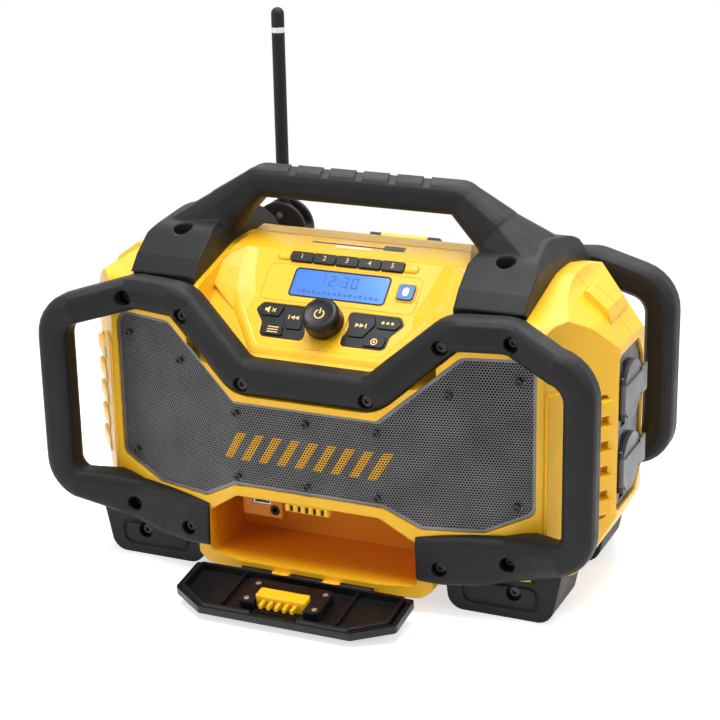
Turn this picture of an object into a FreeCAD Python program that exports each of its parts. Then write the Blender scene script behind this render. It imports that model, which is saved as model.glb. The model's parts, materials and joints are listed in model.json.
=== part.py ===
import FreeCAD, Part
import math
import os

# Jobsite radio with a roll-bar frame, a carry handle, a cable compartment and a folding aerial.
# Millimetres. X runs to the right as seen from the front, Y to the back, Z up.
# The pieces are drawn with Y = 0 near the front grille and moved back to the origin at the end.

V = FreeCAD.Vector

# Clearances
SEAT_GAP = 0.3
FIT_GAP = 0.05
KEY_GAP = 0.3

# Housing, seen from above
FOLD_X = 54.0
FOLD_ANGLE = 13.06
GRILLE_Y = -14.0
RIM_RAISE = 2.0
FACE_X = 166.0
SIDE_X = 204.0
SIDE_Y_FRONT = 57.0
BODY_MID_Y = 87.0
BACK_X = 170.0
BACK_Y = 176.0
CORNER_Y_BACK = 162.0

# Housing, seen from the side and from the front
BODY_BOTTOM = 30.0
BELLY_BOTTOM = 12.0
BELLY_X = 92.0
BELLY_TOP = 60.0
BELLY_BACK = 120.0
ARCH_TOP = 231.0
SHOULDER_X = 152.0
SIDE_TOP = 190.0
SIDE_BOTTOM = 66.0
BLOCK_IN_X = 173.0
BLOCK_OUT_X = 194.0
BLOCK_Y_FRONT = 68.0
BLOCK_Y_BACK = 106.0
BLOCK_TOP = 226.0
BACK_SLOPE_Z = 224.0
BACK_SLOPE_X = 177.0
BACK_SLOPE_Y = 117.0
BACK_SLOPE_DROP_X = 1.4
BACK_SLOPE_DROP_Y = 0.75

# Cooling ribs on the front corner faces
RIB_PITCH = 18.3
RIB_COUNT = 5
RIB_TOP_Z = 150.0
RIB_HEIGHT = 8.0
RIB_LENGTH = 36.0
RIB_RECESS = 5.0
RIB_PROUD = 1.6
RIB_GAP = 4.0

# Control panel
PANEL_TILT = 42.3
PANEL_Y = 2.0
PANEL_Z = 172.0
PANEL_LENGTH = 89.0
DECK_X = 95.0
DECK_TOP = 241.0
DECK_FRONT_Y = 96.0
DECK_CREST_X = 81.0
DECK_CHAMFER = 13.0

# Inside of the housing
CAVITY_X = 165.0
CAVITY_FRONT = 28.0
CAVITY_BACK = 152.0
CAVITY_BOTTOM = 80.0
CAVITY_TOP = 205.0

# Grille and loudspeakers
GRILLE_THICK = 1.5
SPEAKER_X = 115.0
SPEAKER_Z = 121.0
SPEAKER_RING_R = 41.0
SPEAKER_CONE_R = 35.0
SPEAKER_RING = 4.0
SPEAKER_DEPTH = 34.0
MAGNET_R = 26.0
MAGNET_DEPTH = 14.0

# Roll bars
BAR_X = 199.5
BAR_WIDTH = 23.0
BAR_DEPTH = 23.0
FRONT_BAR_Y = -23.0
REAR_BAR_Y = 176.3
REAR_BAR_DEPTH = 26.0
BAR_TOP_Z = 193.5
BAR_BOTTOM_Z = 66.0
BAR_CORNER_R = 24.0
BAR_ROUND = 0.32
LEDGE_DEPTH = 6.0
ROUND_STEPS = 3
REAR_SCREW_X = 148.0
REAR_SCREW_Z = (206.0, 56.0)
REAR_SCREW_SUNK = 6.0

# Carry handle
STRAP_IN_X = 99.0
STRAP_OUT_X = 150.0
STRAP_HALF = 73.0
STRAP_TOP = 251.0
GRIP_X = 78.0
GRIP_Z = 277.0
GRIP_HEIGHT = 22.0
GRIP_DEPTH = 28.0
NOTCH_COUNT = 5
NOTCH_PITCH = 26.0
NOTCH_DEPTH = 2.6
NOTCH_WIDTH = 6.0
NOTCH_LEAN = 18.0
HANDLE_HOLE_X = 124.4
HANDLE_HOLE_DY = 37.2
HANDLE_HOLE_R = 7.0
HANDLE_SEAT_Z = 236.0
HANDLE_SCREW_LENGTH = 14.0

# Feet
FOOT_IN_X = 94.0
FOOT_OUT_X = 181.0
FOOT_FRONT = 8.0
FOOT_DEPTH = 50.0
FOOT_WALL = 8.0
FOOT_CORNER = 12.0
FOOT_SCREW_X = 146.0
FOOT_SCREW_Z = 19.0

# Cable compartment
BIN_X = 81.0
BIN_BOTTOM = 21.0
BIN_SHOULDER_Z = 53.5
BIN_TOP_X = 55.0
BIN_TOP = 71.5
BIN_BACK = 46.0
PORT_X = -52.0
PORT_WIDTH = 32.0
PORT_FACE_Y = 18.0

# Compartment door, drawn shut and then swung open
DOOR_X = 85.0
DOOR_SHOULDER = 38.0
DOOR_TOP_X = 58.0
DOOR_HEIGHT = 56.0
DOOR_THICK = 5.6
DOOR_WALL = 2.4
DOOR_OPEN = 98.0
HINGE_Z = 15.4
KNUCKLE_R = 3.2
DOOR_PIN_R = 1.5
KNUCKLE_LENGTH = 24.0
KNUCKLE_PITCH = 26.0
TOOTH_COUNT = 5
TOOTH_PITCH = 6.0
TOOTH_WIDTH = 2.4
TOOTH_FRONT = 2.6
TOOTH_BACK = 5.6
STRIKE_X = 17.0
STRIKE_DROP = 6.0
LATCH_X = 19.0
LATCH_V = 37.0
LATCH_LENGTH = 11.0
COVER_X = 31.0
COVER_BOTTOM = 18.0
COVER_TOP = 47.0
COVER_THICK = 5.0

# Keys and display, placed on the control panel: X across, V up the slope
LENS_X = 37.0
LENS_LOW = 52.0
LENS_HIGH = 75.0
LENS_THICK = 1.5
KEY_TRAVEL = 1.2
KEY_RAISE = 2.0
KEY_SUNK = 3.0
PRESET_COUNT = 5
PRESET_PITCH = 17.6
PRESET_WIDTH = 16.8
PRESET_HEIGHT = 7.6
PRESET_V = 83.6
PAIR_X = 51.0
PAIR_V = 64.0
PAIR_SIZE = 12.0
KNOB_V = 31.5
KNOB_R = 14.0
KNOB_HEIGHT = 14.0
KNOB_CLEAR = 2.0
KNOB_FLUTES = 24
KNOB_TRAVEL = 1.5
SHAFT_R = 3.0
PLATE_THICK = 1.2

# Aerial
AERIAL_X = -109.0
AERIAL_Z = 224.0
AERIAL_BASE_R = 22.0
AERIAL_BASE_Z = 212.0
AERIAL_BASE_DEPTH = 17.0
AERIAL_R = 5.0
AERIAL_TOP = 385.0
AERIAL_RING_Z = 366.0
AERIAL_HUB_R = 8.0
AERIAL_PIN_R = 2.5

# Battery door at the back
PACK_DOOR_X = 72.0
PACK_DOOR_LOW = 62.0
PACK_DOOR_HIGH = 204.0
PACK_DOOR_THICK = 5.5
PACK_HINGE_R = 3.5
PACK_PIN_R = 1.5
PACK_LATCH_X = 19.0
PACK_LUG_X = 28.0
PACK_RIB_Z = (96, 112, 128, 144, 160)
PACK_RIB_HEIGHT = 5.0
PACK_RIB_PROUD = 1.5
DOCK_X = 36.0
DOCK_PLATE = 6.0
DOCK_RAIL = 22.0
DOCK_RAIL_X = 28.0
DOCK_BLADE = 18.0
DOCK_BLADE_X = (-12, -4, 4, 12)
BAY_X = 60.0
BAY_WALL = 4.0
BAY_FRONT = 112.0
BAY_LOW = 72.0
BAY_HIGH = 196.0

# Mains outlets on the radio's right side
PANEL_INSET = 2.0
OUTLET_PLATE = 3.0
OUTLET_Z = (152.0, 98.0)
OUTLET_Y = 86.0
OUTLET_R = 21.0
SOCKET_R = 18.0
SOCKET_DEPTH = 16.0
COVER_DISC = 3.4
COVER_HINGE_R = 2.6
COVER_PIN_R = 1.2
TAB_LENGTH = 9.0

# Screws
SCREW_HEAD_R = 4.2
SCREW_HEAD_H = 2.6
SCREW_SHANK_R = 1.8
SCREW_LENGTH = 12.0
SCREW_BITE = 10.0
SCREW_WELL_R = 5.6
BOSS_R = 7.5
BOSS_DEPTH = 5.0
GUARD_SCREWS = ((47.6, 157.0, 1.0), (98.2, 198.5, 1.0), (147.0, 205.3, 4.9), (146.0, 46.5, 5.3),
                (98.0, 37.5, 3.7))
GRILLE_SCREWS = ((150.0, 176.0), (103.0, 164.0), (54.0, 134.0), (149.0, 85.0), (54.0, 86.0))
GRILLE_SCREW_MID = (133.0, 86.0)
GRILLE_SCREW_R = 2.6

# Mains inlet at the back
INLET_X = 112.0
INLET_Z = 80.0
INLET_WIDTH = 26.0
INLET_HEIGHT = 18.0
INLET_DEPTH = 16.0

FAR = 400.0
pieces = {}


def front_y(x, offset=0.0):
    """Y of the folded front face at a given X."""
    rise = math.tan(math.radians(FOLD_ANGLE)) * max(0.0, abs(x) - FOLD_X)
    return GRILLE_Y + offset + rise


def rounded_wire(corners, place):
    """Closed wire through (a, b, radius) corners, put into space by the given function."""
    edges = []
    count = len(corners)
    starts = []
    ends = []
    middles = []
    for i in range(count):
        a0, b0 = corners[i - 1][:2]
        a1, b1, radius = corners[i]
        a2, b2 = corners[(i + 1) % count][:2]
        in_length = math.hypot(a1 - a0, b1 - b0)
        out_length = math.hypot(a2 - a1, b2 - b1)
        ux, uy = (a1 - a0) / in_length, (b1 - b0) / in_length
        wx, wy = (a2 - a1) / out_length, (b2 - b1) / out_length
        turn = math.atan2(ux * wy - uy * wx, ux * wx + uy * wy)
        tangent = radius * math.tan(abs(turn) / 2)
        starts.append((a1 - ux * tangent, b1 - uy * tangent))
        ends.append((a1 + wx * tangent, b1 + wy * tangent))
        if radius and abs(turn) > 1e-6:
            side = math.copysign(1.0, turn)
            cx = starts[i][0] - side * uy * radius
            cy = starts[i][1] + side * ux * radius
            bx, by = a1 - cx, b1 - cy
            reach = math.hypot(bx, by)
            middles.append((cx + bx / reach * radius, cy + by / reach * radius))
        else:
            middles.append(None)
    for i in range(count):
        if middles[i]:
            edges.append(Part.Arc(place(*starts[i]), place(*middles[i]), place(*ends[i])).toShape())
        following = starts[(i + 1) % count]
        if math.hypot(following[0] - ends[i][0], following[1] - ends[i][1]) > 1e-6:
            edges.append(Part.LineSegment(place(*ends[i]), place(*following)).toShape())
    return Part.Wire(edges)


def with_radius(corners):
    """Corners given as (a, b) get a zero radius."""
    return [corner if len(corner) == 3 else (corner[0], corner[1], 0.0) for corner in corners]


def mirrored(half):
    """Full outline from its right half, listed from the top middle to the bottom middle."""
    right = with_radius(half)
    left = [(-a, b, radius) for a, b, radius in reversed(right)]
    return right + left


def prism(corners, place, reach, grow=0.0):
    """Solid drawn from an outline, grown sideways by a clearance, along a vector."""
    face = Part.Face(rounded_wire(with_radius(corners), place))
    if grow:
        face = face.makeOffset2D(grow, 2)
    return face.extrude(reach)


def along_x(corners, x0, x1, grow=0.0):
    """Prism along X from a (y, z) outline."""
    return prism(corners, lambda a, b: V(x0, a, b), V(x1 - x0, 0, 0), grow)


def along_y(corners, y0, y1, grow=0.0):
    """Prism along Y from an (x, z) outline."""
    return prism(corners, lambda a, b: V(a, y0, b), V(0, y1 - y0, 0), grow)


def along_z(corners, z0, z1, grow=0.0):
    """Prism along Z from an (x, y) outline."""
    return prism(corners, lambda a, b: V(a, b, z0), V(0, 0, z1 - z0), grow)


def box(x0, x1, y0, y1, z0, z1):
    return Part.makeBox(x1 - x0, y1 - y0, z1 - z0, V(x0, y0, z0))


def rod_x(x0, x1, y, z, radius):
    return Part.makeCylinder(radius, x1 - x0, V(x0, y, z), V(1, 0, 0))


def rod_y(x, y0, y1, z, radius):
    return Part.makeCylinder(radius, y1 - y0, V(x, y0, z), V(0, 1, 0))


def rod_z(x, y, z0, z1, radius):
    return Part.makeCylinder(radius, z1 - z0, V(x, y, z0), V(0, 0, 1))


def rectangle(a0, a1, b0, b1, radius=0.0):
    return [(a0, b0, radius), (a1, b0, radius), (a1, b1, radius), (a0, b1, radius)]


def mirror_x(shape):
    return shape.mirror(V(0, 0, 0), V(1, 0, 0))


def mirror_back(shape):
    """The same form on the other side of the body's middle plane."""
    return shape.mirror(V(0, BODY_MID_Y, 0), V(0, 1, 0))


def both_sides(shape):
    return [shape, mirror_x(shape)]


def fuse_all(shapes):
    return shapes[0].multiFuse(shapes[1:]).removeSplitter()


def cut_all(shape, tools):
    return shape.cut(Part.makeCompound(tools))


def round_section(half, depth):
    """Corners of a bar's section, rounded in short steps: across the bar and back from its front."""
    radius = BAR_ROUND * min(2 * half, depth)
    centres = ((half - radius, radius, -90), (half - radius, depth - radius, 0),
               (radius - half, depth - radius, 90), (radius - half, radius, 180))
    points = []
    for across, back, start in centres:
        for step in range(ROUND_STEPS + 1):
            angle = math.radians(start + 90.0 * step / ROUND_STEPS)
            points.append((across + radius * math.cos(angle), back + radius * math.sin(angle)))
    return points


def bar(nodes, steps=7):
    """Soft-edged bar lofted along (x, z, y_front, width, depth, corner radius) nodes."""
    stations = []
    for i, (x, z, y_front, width, depth, radius) in enumerate(nodes):
        if i in (0, len(nodes) - 1):
            other = nodes[1] if i == 0 else nodes[-2]
            sign = 1.0 if i == 0 else -1.0
            heading = math.atan2(sign * (other[1] - z), sign * (other[0] - x))
            stations.append((x, z, heading, 1.0, y_front, width, depth))
            continue
        before = math.atan2(z - nodes[i - 1][1], x - nodes[i - 1][0])
        after = math.atan2(nodes[i + 1][1] - z, nodes[i + 1][0] - x)
        turn = (after - before + math.pi) % (2 * math.pi) - math.pi
        if not radius:
            stretch = 1.0 / math.cos(turn / 2)
            stations.append((x, z, before + turn / 2, stretch, y_front, width, depth))
            continue
        side = math.copysign(1.0, turn)
        tangent = radius * math.tan(abs(turn) / 2)
        cx = x - math.cos(before) * tangent - side * math.sin(before) * radius
        cz = z - math.sin(before) * tangent + side * math.cos(before) * radius
        for step in range(steps + 1):
            heading = before + turn * step / steps
            px = cx + side * math.sin(heading) * radius
            pz = cz - side * math.cos(heading) * radius
            stations.append((px, pz, heading, 1.0, y_front, width, depth))
    sections = []
    for x, z, heading, stretch, y_front, width, depth in stations:
        across = V(-math.sin(heading), 0, math.cos(heading)) * stretch
        points = [V(x, y_front + d, z) + across * a for a, d in round_section(width / 2, depth)]
        sections.append(Part.makePolygon(points + points[:1]))
    return Part.makeLoft(sections, True, True)


def screw(x, y, z, head_r=SCREW_HEAD_R, length=SCREW_LENGTH, shank_r=SCREW_SHANK_R):
    """Pan-head screw with a round drive, its head towards the front at Y."""
    head = rod_y(x, y, y + SCREW_HEAD_H, z, head_r)
    drive = rod_y(x, y - 1, y + SCREW_HEAD_H / 2, z, head_r * 0.45)
    return head.cut(drive).fuse(rod_y(x, y + SCREW_HEAD_H, y + length, z, shank_r))


def plan_outline():
    """Housing seen from above."""
    side_back = 2 * BODY_MID_Y - SIDE_Y_FRONT
    half = [(BACK_X, BACK_Y, 8), (FACE_X + 8, CORNER_Y_BACK), (SIDE_X, side_back, 10),
            (SIDE_X, SIDE_Y_FRONT, 8), (FACE_X, front_y(FACE_X, -RIM_RAISE), 3),
            (FOLD_X, front_y(FOLD_X, -RIM_RAISE))]
    return mirrored(half)


def side_outline():
    """Arched shoulders seen from the side."""
    return [(-30, BODY_BOTTOM), (-30, 168), (16, 215, 8), (81, ARCH_TOP, 60), (110, ARCH_TOP, 40),
            (151, 221, 20), (168, 200, 12), (BACK_Y + 10, 160), (BACK_Y + 10, BODY_BOTTOM)]


def front_outline():
    """Housing seen from the front, with dropped shoulders."""
    half = [(SHOULDER_X, ARCH_TOP + 20), (SHOULDER_X + 14, ARCH_TOP - 6, 14), (190, 208, 12),
            (SIDE_X, SIDE_TOP, 6), (SIDE_X, SIDE_BOTTOM, 4), (184, BODY_BOTTOM, 6)]
    return mirrored(half)


def deck_outline():
    """Control panel and deck between the handle straps, seen from the side."""
    slope = math.radians(PANEL_TILT)
    crest_y = PANEL_Y + PANEL_LENGTH * math.cos(slope)
    crest_z = PANEL_Z + PANEL_LENGTH * math.sin(slope)
    return [(-30, 150), (-30, 160), (PANEL_Y, PANEL_Z), (crest_y, crest_z, 4),
            (DECK_FRONT_Y, DECK_TOP, 10), (126, 230.5, 20), (158, 218, 14), (172, 206, 8),
            (BACK_Y, 196), (BACK_Y, 150)]


def deck_front_outline():
    """Control panel and deck seen from the front, with chamfered ends."""
    half = [(DECK_CREST_X, DECK_TOP + 1, 4), (DECK_X, DECK_TOP - DECK_CHAMFER, 4), (DECK_X, 150)]
    return mirrored(half)


def back_slope():
    """Solid above the sloping back of the right shoulder."""
    reach = 160.0
    base = V(BACK_SLOPE_X, BACK_SLOPE_Y, BACK_SLOPE_Z)
    across = V(1, 0, -BACK_SLOPE_DROP_X)
    back = V(0, 1, -BACK_SLOPE_DROP_Y)
    corners = [base + across * a + back * b for a, b in ((-reach, -reach), (reach, -reach),
                                                         (reach, reach), (-reach, reach))]
    face = Part.Face(Part.makePolygon(corners + corners[:1]))
    above = face.extrude(V(0, 0, FAR))
    return above.common(box(STRAP_OUT_X - 8, FAR, BACK_SLOPE_Y - 60, FAR, 0, FAR))


def guard_ledge(grow=0.0):
    """Step in the front wall that the middle of the roll bar lies in."""
    x0, z0 = front_guard_nodes()[0][:2]
    x1, z1 = front_guard_nodes()[1][:2]
    half = front_guard_nodes()[0][3] / 2 + SEAT_GAP
    angle = math.atan2(z1 - z0, x1 - x0)
    turn_x = x0 + half * math.tan(angle / 2)
    end_x = x1 + half * math.sin(angle)
    end_z = z1 - half * math.cos(angle)
    outline = mirrored([(end_x, DECK_TOP + 20), (end_x, end_z), (turn_x, z0 - half, 20 + half)])
    edge = 150.0
    depth = LEDGE_DEPTH - grow
    front = [(-edge, -60), (edge, -60), (edge, front_y(edge, depth)), (FOLD_X, GRILLE_Y + depth),
             (-FOLD_X, GRILLE_Y + depth), (-edge, front_y(edge, depth))]
    return along_y(outline, -60, 80, -grow).common(along_z(front, 100, 300))


def body_form(grow=0.0):
    """Outer form of the closed housing, grown by a clearance where a carried piece is cut to it."""
    plan = along_z(plan_outline(), -10, 300, grow)
    core = plan.common(along_x(side_outline(), -FAR, FAR, grow))
    core = core.common(along_y(front_outline(), -FAR, FAR, grow))
    core = core.cut(box(-DECK_X, DECK_X, -FAR, FAR, 150, FAR))
    deck = along_x(deck_outline(), -DECK_X - grow, DECK_X + grow, grow).common(plan)
    deck = deck.common(along_y(deck_front_outline(), -FAR, FAR, grow))
    belly_half = [(BELLY_X, BELLY_TOP), (BELLY_X, BELLY_BOTTOM + 6, 4),
                  (BELLY_X - 8, BELLY_BOTTOM, 4)]
    belly = along_y(mirrored(belly_half), -FAR, BELLY_BACK + grow, grow).common(plan)
    block_profile = [(BLOCK_Y_FRONT, 150), (BLOCK_Y_FRONT, BLOCK_TOP - 16), (BLOCK_Y_FRONT + 4, BLOCK_TOP),
                     (BLOCK_Y_BACK - 6, BLOCK_TOP), (BLOCK_Y_BACK, BLOCK_TOP - 16), (BLOCK_Y_BACK, 150)]
    block = along_x(block_profile, BLOCK_IN_X - grow, BLOCK_OUT_X + grow, grow)
    taper = [(BLOCK_IN_X, 150), (BLOCK_IN_X, BLOCK_TOP, 2), (BLOCK_OUT_X - 3, BLOCK_TOP - 13, 2),
             (BLOCK_OUT_X, BLOCK_TOP - 20), (BLOCK_OUT_X, 150)]
    block = block.common(along_y(taper, -FAR, FAR, grow))
    slope = back_slope().translated(V(0, 0, grow))
    core = cut_all(core, both_sides(slope))
    shape = fuse_all([core, deck, belly] + both_sides(block))
    return shape.cut(guard_ledge(grow))


def corner_place():
    """Frame on the front corner face: X along the face, Y inwards, Z up."""
    start = V(FACE_X, front_y(FACE_X, -RIM_RAISE), 0)
    end = V(SIDE_X, SIDE_Y_FRONT, 0)
    angle = math.degrees(math.atan2(end.y - start.y, end.x - start.x))
    return FreeCAD.Placement((start + end) / 2, FreeCAD.Rotation(V(0, 0, 1), angle))


def rib_recess():
    """Hollow in the front corner face of the right side, where the ribs stand."""
    low = RIB_TOP_Z - (RIB_COUNT - 1) * RIB_PITCH - RIB_PITCH / 2
    high = RIB_TOP_Z + RIB_PITCH / 2
    half = RIB_LENGTH / 2 + RIB_GAP
    pocket = along_y(rectangle(-half, half, low, high, 4), -8, RIB_RECESS)
    pocket.Placement = corner_place()
    return pocket


def corner_ribs():
    """Cooling ribs of the right front corner, joined to the wall towards the front."""
    low = -RIB_LENGTH / 2 - RIB_GAP
    shapes = []
    for i in range(RIB_COUNT):
        z = RIB_TOP_Z - i * RIB_PITCH
        outline = rectangle(low - 1, RIB_LENGTH / 2, z - RIB_HEIGHT / 2, z + RIB_HEIGHT / 2, 2)
        rib = along_y(outline, -RIB_PROUD, RIB_RECESS + 1)
        rib.Placement = corner_place()
        shapes.append(rib)
    return shapes


def grille_outline():
    """Folded loudspeaker grille seen from the front."""
    half = [(55, 143, 6), (112, 192, 10), (161, 192, 12), (161, 80, 8), (126, 64, 8),
            (84, 64, 6), (57, 79, 6)]
    return mirrored(half)


def folded_sheet(outline, front, back, grow=0.0):
    """Sheet that follows the fold of the front between two depths."""
    edge = FAR / 2
    face = [(-edge, front_y(edge, front)), (-FOLD_X, GRILLE_Y + front), (FOLD_X, GRILLE_Y + front),
            (edge, front_y(edge, front)), (edge, front_y(edge, back)), (FOLD_X, GRILLE_Y + back),
            (-FOLD_X, GRILLE_Y + back), (-edge, front_y(edge, back))]
    return along_y(outline, -60, 80, grow).common(along_z(face, 0, 300))


def speaker_place(side):
    """Frame on the grille facet: Y into the housing."""
    depth = (GRILLE_THICK + SEAT_GAP) / math.cos(math.radians(FOLD_ANGLE))
    point = V(side * SPEAKER_X, front_y(SPEAKER_X) + depth, SPEAKER_Z)
    return FreeCAD.Placement(point, FreeCAD.Rotation(V(0, 0, 1), side * FOLD_ANGLE))


def speaker(side):
    ring = rod_y(0, SEAT_GAP, SPEAKER_RING, 0, SPEAKER_RING_R)
    basket = Part.makeCone(SPEAKER_CONE_R, MAGNET_R - 4, SPEAKER_DEPTH - MAGNET_DEPTH,
                           V(0, SPEAKER_RING, 0), V(0, 1, 0))
    hollow = Part.makeCone(SPEAKER_CONE_R - 3, 8, 16, V(0, 0, 0), V(0, 1, 0))
    magnet = rod_y(0, SPEAKER_DEPTH - MAGNET_DEPTH + 3, SPEAKER_DEPTH + 3, 0, MAGNET_R)
    dome = Part.makeSphere(10, V(0, 22, 0)).common(box(-20, 20, 0, 24, -20, 20))
    shape = fuse_all([ring, basket, magnet]).cut(hollow).fuse(dome)
    shape.Placement = speaker_place(side)
    return shape


def speaker_hole(side):
    seat = rod_y(0, -10, SPEAKER_RING + SEAT_GAP, 0, SPEAKER_RING_R + SEAT_GAP)
    tunnel = rod_y(0, -10, 60, 0, SPEAKER_CONE_R + 1)
    shape = seat.fuse(tunnel)
    shape.Placement = speaker_place(side)
    return shape


def bin_outline():
    half = [(BIN_TOP_X, BIN_TOP, 5), (BIN_X, BIN_SHOULDER_Z, 5), (BIN_X, BIN_BOTTOM, 4)]
    return mirrored(half)


def port_block():
    """Block at the back of the compartment that carries the two sockets."""
    half = PORT_WIDTH / 2
    return box(PORT_X - half, PORT_X + half, PORT_FACE_Y, BIN_BACK, 42, BIN_TOP + 3)


def latch_teeth(side_gap, front, back, low, high):
    """Teeth of the door latch, or with a side gap the slots they slide into."""
    half = TOOTH_WIDTH / 2 + side_gap
    places = [(i - (TOOTH_COUNT - 1) / 2) * TOOTH_PITCH for i in range(TOOTH_COUNT)]
    return [box(x - half, x + half, front, back, low, high) for x in places]


def strike():
    """Slotted catch under the compartment's top edge that the door latch slides into."""
    front = door_inner_y() + TOOTH_FRONT
    back = door_inner_y() + TOOTH_BACK
    low = BIN_TOP - STRIKE_DROP
    plate = box(-STRIKE_X, STRIKE_X, front - 1.6, back + 1.6, low, BIN_TOP + 2)
    return cut_all(plate, latch_teeth(SEAT_GAP, front - SEAT_GAP, back + SEAT_GAP, low - 1, BIN_TOP - 1))


def panel_place():
    """Frame on the control panel: X across, Y up the slope, Z outwards."""
    return FreeCAD.Placement(V(0, PANEL_Y, PANEL_Z), FreeCAD.Rotation(V(1, 0, 0), PANEL_TILT))


def on_panel(shape):
    moved = shape.copy()
    moved.Placement = panel_place().multiply(moved.Placement)
    return moved


def key_outlines():
    """Outlines of the keys beside the knob, in panel coordinates."""
    upper = [(35.5, 42.3, 1.5), (51.6, 42.3, 2), (55, 38.2, 2), (51.2, 33.6, 1.5), (38.2, 33.6, 1.5)]
    lower = [(30.5, 18.7, 1.5), (46.4, 18.7, 2), (47.2, 26.6, 2), (32.6, 26.6, 1.5)]
    skip = [(20.2, 42.3, 1.5), (33.6, 42.3, 1.5), (36, 36, 2), (29.4, 25, 2), (18.4, 25, 1)]

    def left(outline):
        return [(-u, v, radius) for u, v, radius in reversed(outline)]

    return {
        "key_mute": left(upper),
        "key_menu": left(lower),
        "key_previous": left(skip),
        "key_next": skip,
        "key_mode": upper,
        "key_enter": lower,
    }


def pad_outline():
    """Black plate round the three keys on the radio's right of the knob."""
    return [(14.5, 44, 3), (53, 44, 4), (57, 38, 3), (49, 28, 4), (48, 17, 4), (14.5, 17, 3)]


def preset_outline(index):
    x = (index - (PRESET_COUNT - 1) / 2) * PRESET_PITCH
    half = PRESET_WIDTH / 2
    return rectangle(x - half, x + half, PRESET_V - PRESET_HEIGHT / 2, PRESET_V + PRESET_HEIGHT / 2, 1)


def pair_outline():
    half = PAIR_SIZE / 2
    return rectangle(PAIR_X - half, PAIR_X + half, PAIR_V - half, PAIR_V + half, 2.5)


def key(outline, raise_by=KEY_RAISE):
    return on_panel(along_z(outline, -KEY_SUNK, raise_by))


def key_pocket(outline):
    floor = -(KEY_SUNK + KEY_TRAVEL + SEAT_GAP)
    return on_panel(along_z(outline, floor, 20, KEY_GAP))


def flutes():
    """Grip grooves round the knob."""
    cuts = []
    for i in range(KNOB_FLUTES):
        angle = 2 * math.pi * i / KNOB_FLUTES
        cuts.append(rod_z(KNOB_R * math.cos(angle), KNOB_V + KNOB_R * math.sin(angle), 0, 30, 0.9))
    return cuts


def volume_knob():
    low = KNOB_TRAVEL + KNOB_CLEAR
    skirt = Part.makeCone(KNOB_R, KNOB_R - 1, KNOB_HEIGHT - 2.5, V(0, KNOB_V, low), V(0, 0, 1))
    top = Part.makeCone(KNOB_R - 1, KNOB_R - 3.5, 2.5, V(0, KNOB_V, low + KNOB_HEIGHT - 2.5), V(0, 0, 1))
    dish = Part.makeSphere(60, V(0, KNOB_V, low + KNOB_HEIGHT + 59))
    bore = rod_z(0, KNOB_V, low - 1, low + KNOB_HEIGHT - 4, SHAFT_R + FIT_GAP)
    return on_panel(cut_all(skirt.fuse(top), flutes() + [dish, bore]))


def encoder():
    """Rotary encoder whose shaft carries the knob and travels with it."""
    top = KNOB_TRAVEL + KNOB_CLEAR + KNOB_HEIGHT - 4.3
    shaft = rod_z(0, KNOB_V, -7, top, SHAFT_R)
    collar = rod_z(0, KNOB_V, -9, -7, 6)
    return on_panel(shaft.fuse(collar))


def encoder_hole():
    return on_panel(rod_z(0, KNOB_V, -9.3 - KNOB_TRAVEL, 2, 6.3))


def display_lens():
    return on_panel(along_z(rectangle(-LENS_X, LENS_X, LENS_LOW, LENS_HIGH, 3), -LENS_THICK, 0))


def display_module():
    return on_panel(along_z(rectangle(-LENS_X + 2, LENS_X - 2, LENS_LOW + 1, LENS_HIGH - 1, 1),
                            -LENS_THICK - SEAT_GAP - 4, -LENS_THICK - SEAT_GAP))


def display_pocket():
    lens = along_z(rectangle(-LENS_X, LENS_X, LENS_LOW, LENS_HIGH, 3), -LENS_THICK - SEAT_GAP, 2, SEAT_GAP)
    module = along_z(rectangle(-LENS_X + 2, LENS_X - 2, LENS_LOW + 1, LENS_HIGH - 1, 1),
                     -LENS_THICK - 2 * SEAT_GAP - 4, 0, SEAT_GAP)
    return on_panel(lens.fuse(module))


def front_guard_nodes():
    """Right half of the front roll bar, from the middle out and down to its lower end."""
    return [(50, 161, -18, 25, 22, 20), (103, 207.5, -8, 24, 24, 20), (142, 207.5, -2.5, 24, 24, 30),
            (BAR_X, BAR_TOP_Z, FRONT_BAR_Y, BAR_WIDTH, BAR_DEPTH, BAR_CORNER_R),
            (BAR_X, BAR_BOTTOM_Z, FRONT_BAR_Y, BAR_WIDTH, BAR_DEPTH, BAR_CORNER_R - 4),
            (167, 55, -13, 29, 26, 0), (146, 48, -5, 33, 22, 20), (120, 44.5, -8.5, 38, 20, 20),
            (98, 43, -12, 37, 18, 20), (81, 42.5, -12.5, 35, 17, 0)]


def guard_room(nodes, low, high):
    """Space in front of the roll bar's back between two heights, with a seating gap."""
    backs = [(x, y + depth + SEAT_GAP) for x, _, y, _, depth, _ in nodes]
    plan = [(backs[0][0], -60)] + backs + [(backs[-1][0], -60)]
    return along_z(plan, low, high)


def strap_notch():
    """Room for the roll bar in the foot of the right strap."""
    nodes = front_guard_nodes()[:4]
    _, z, _, width, _, _ = nodes[1]
    return guard_room(nodes, 0, z + width / 2 + SEAT_GAP)


def foot_notch():
    """Room for the roll bar's lower end over the right front foot."""
    nodes = front_guard_nodes()[4:]
    edge = [(x, z - width / 2 - 4 * SEAT_GAP) for x, z, _, width, _, _ in nodes]
    above = [(edge[0][0], FAR)] + edge + [(edge[-1][0], FAR)]
    return guard_room(nodes, 0, FAR).common(along_y(above, -60, 80))


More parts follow.
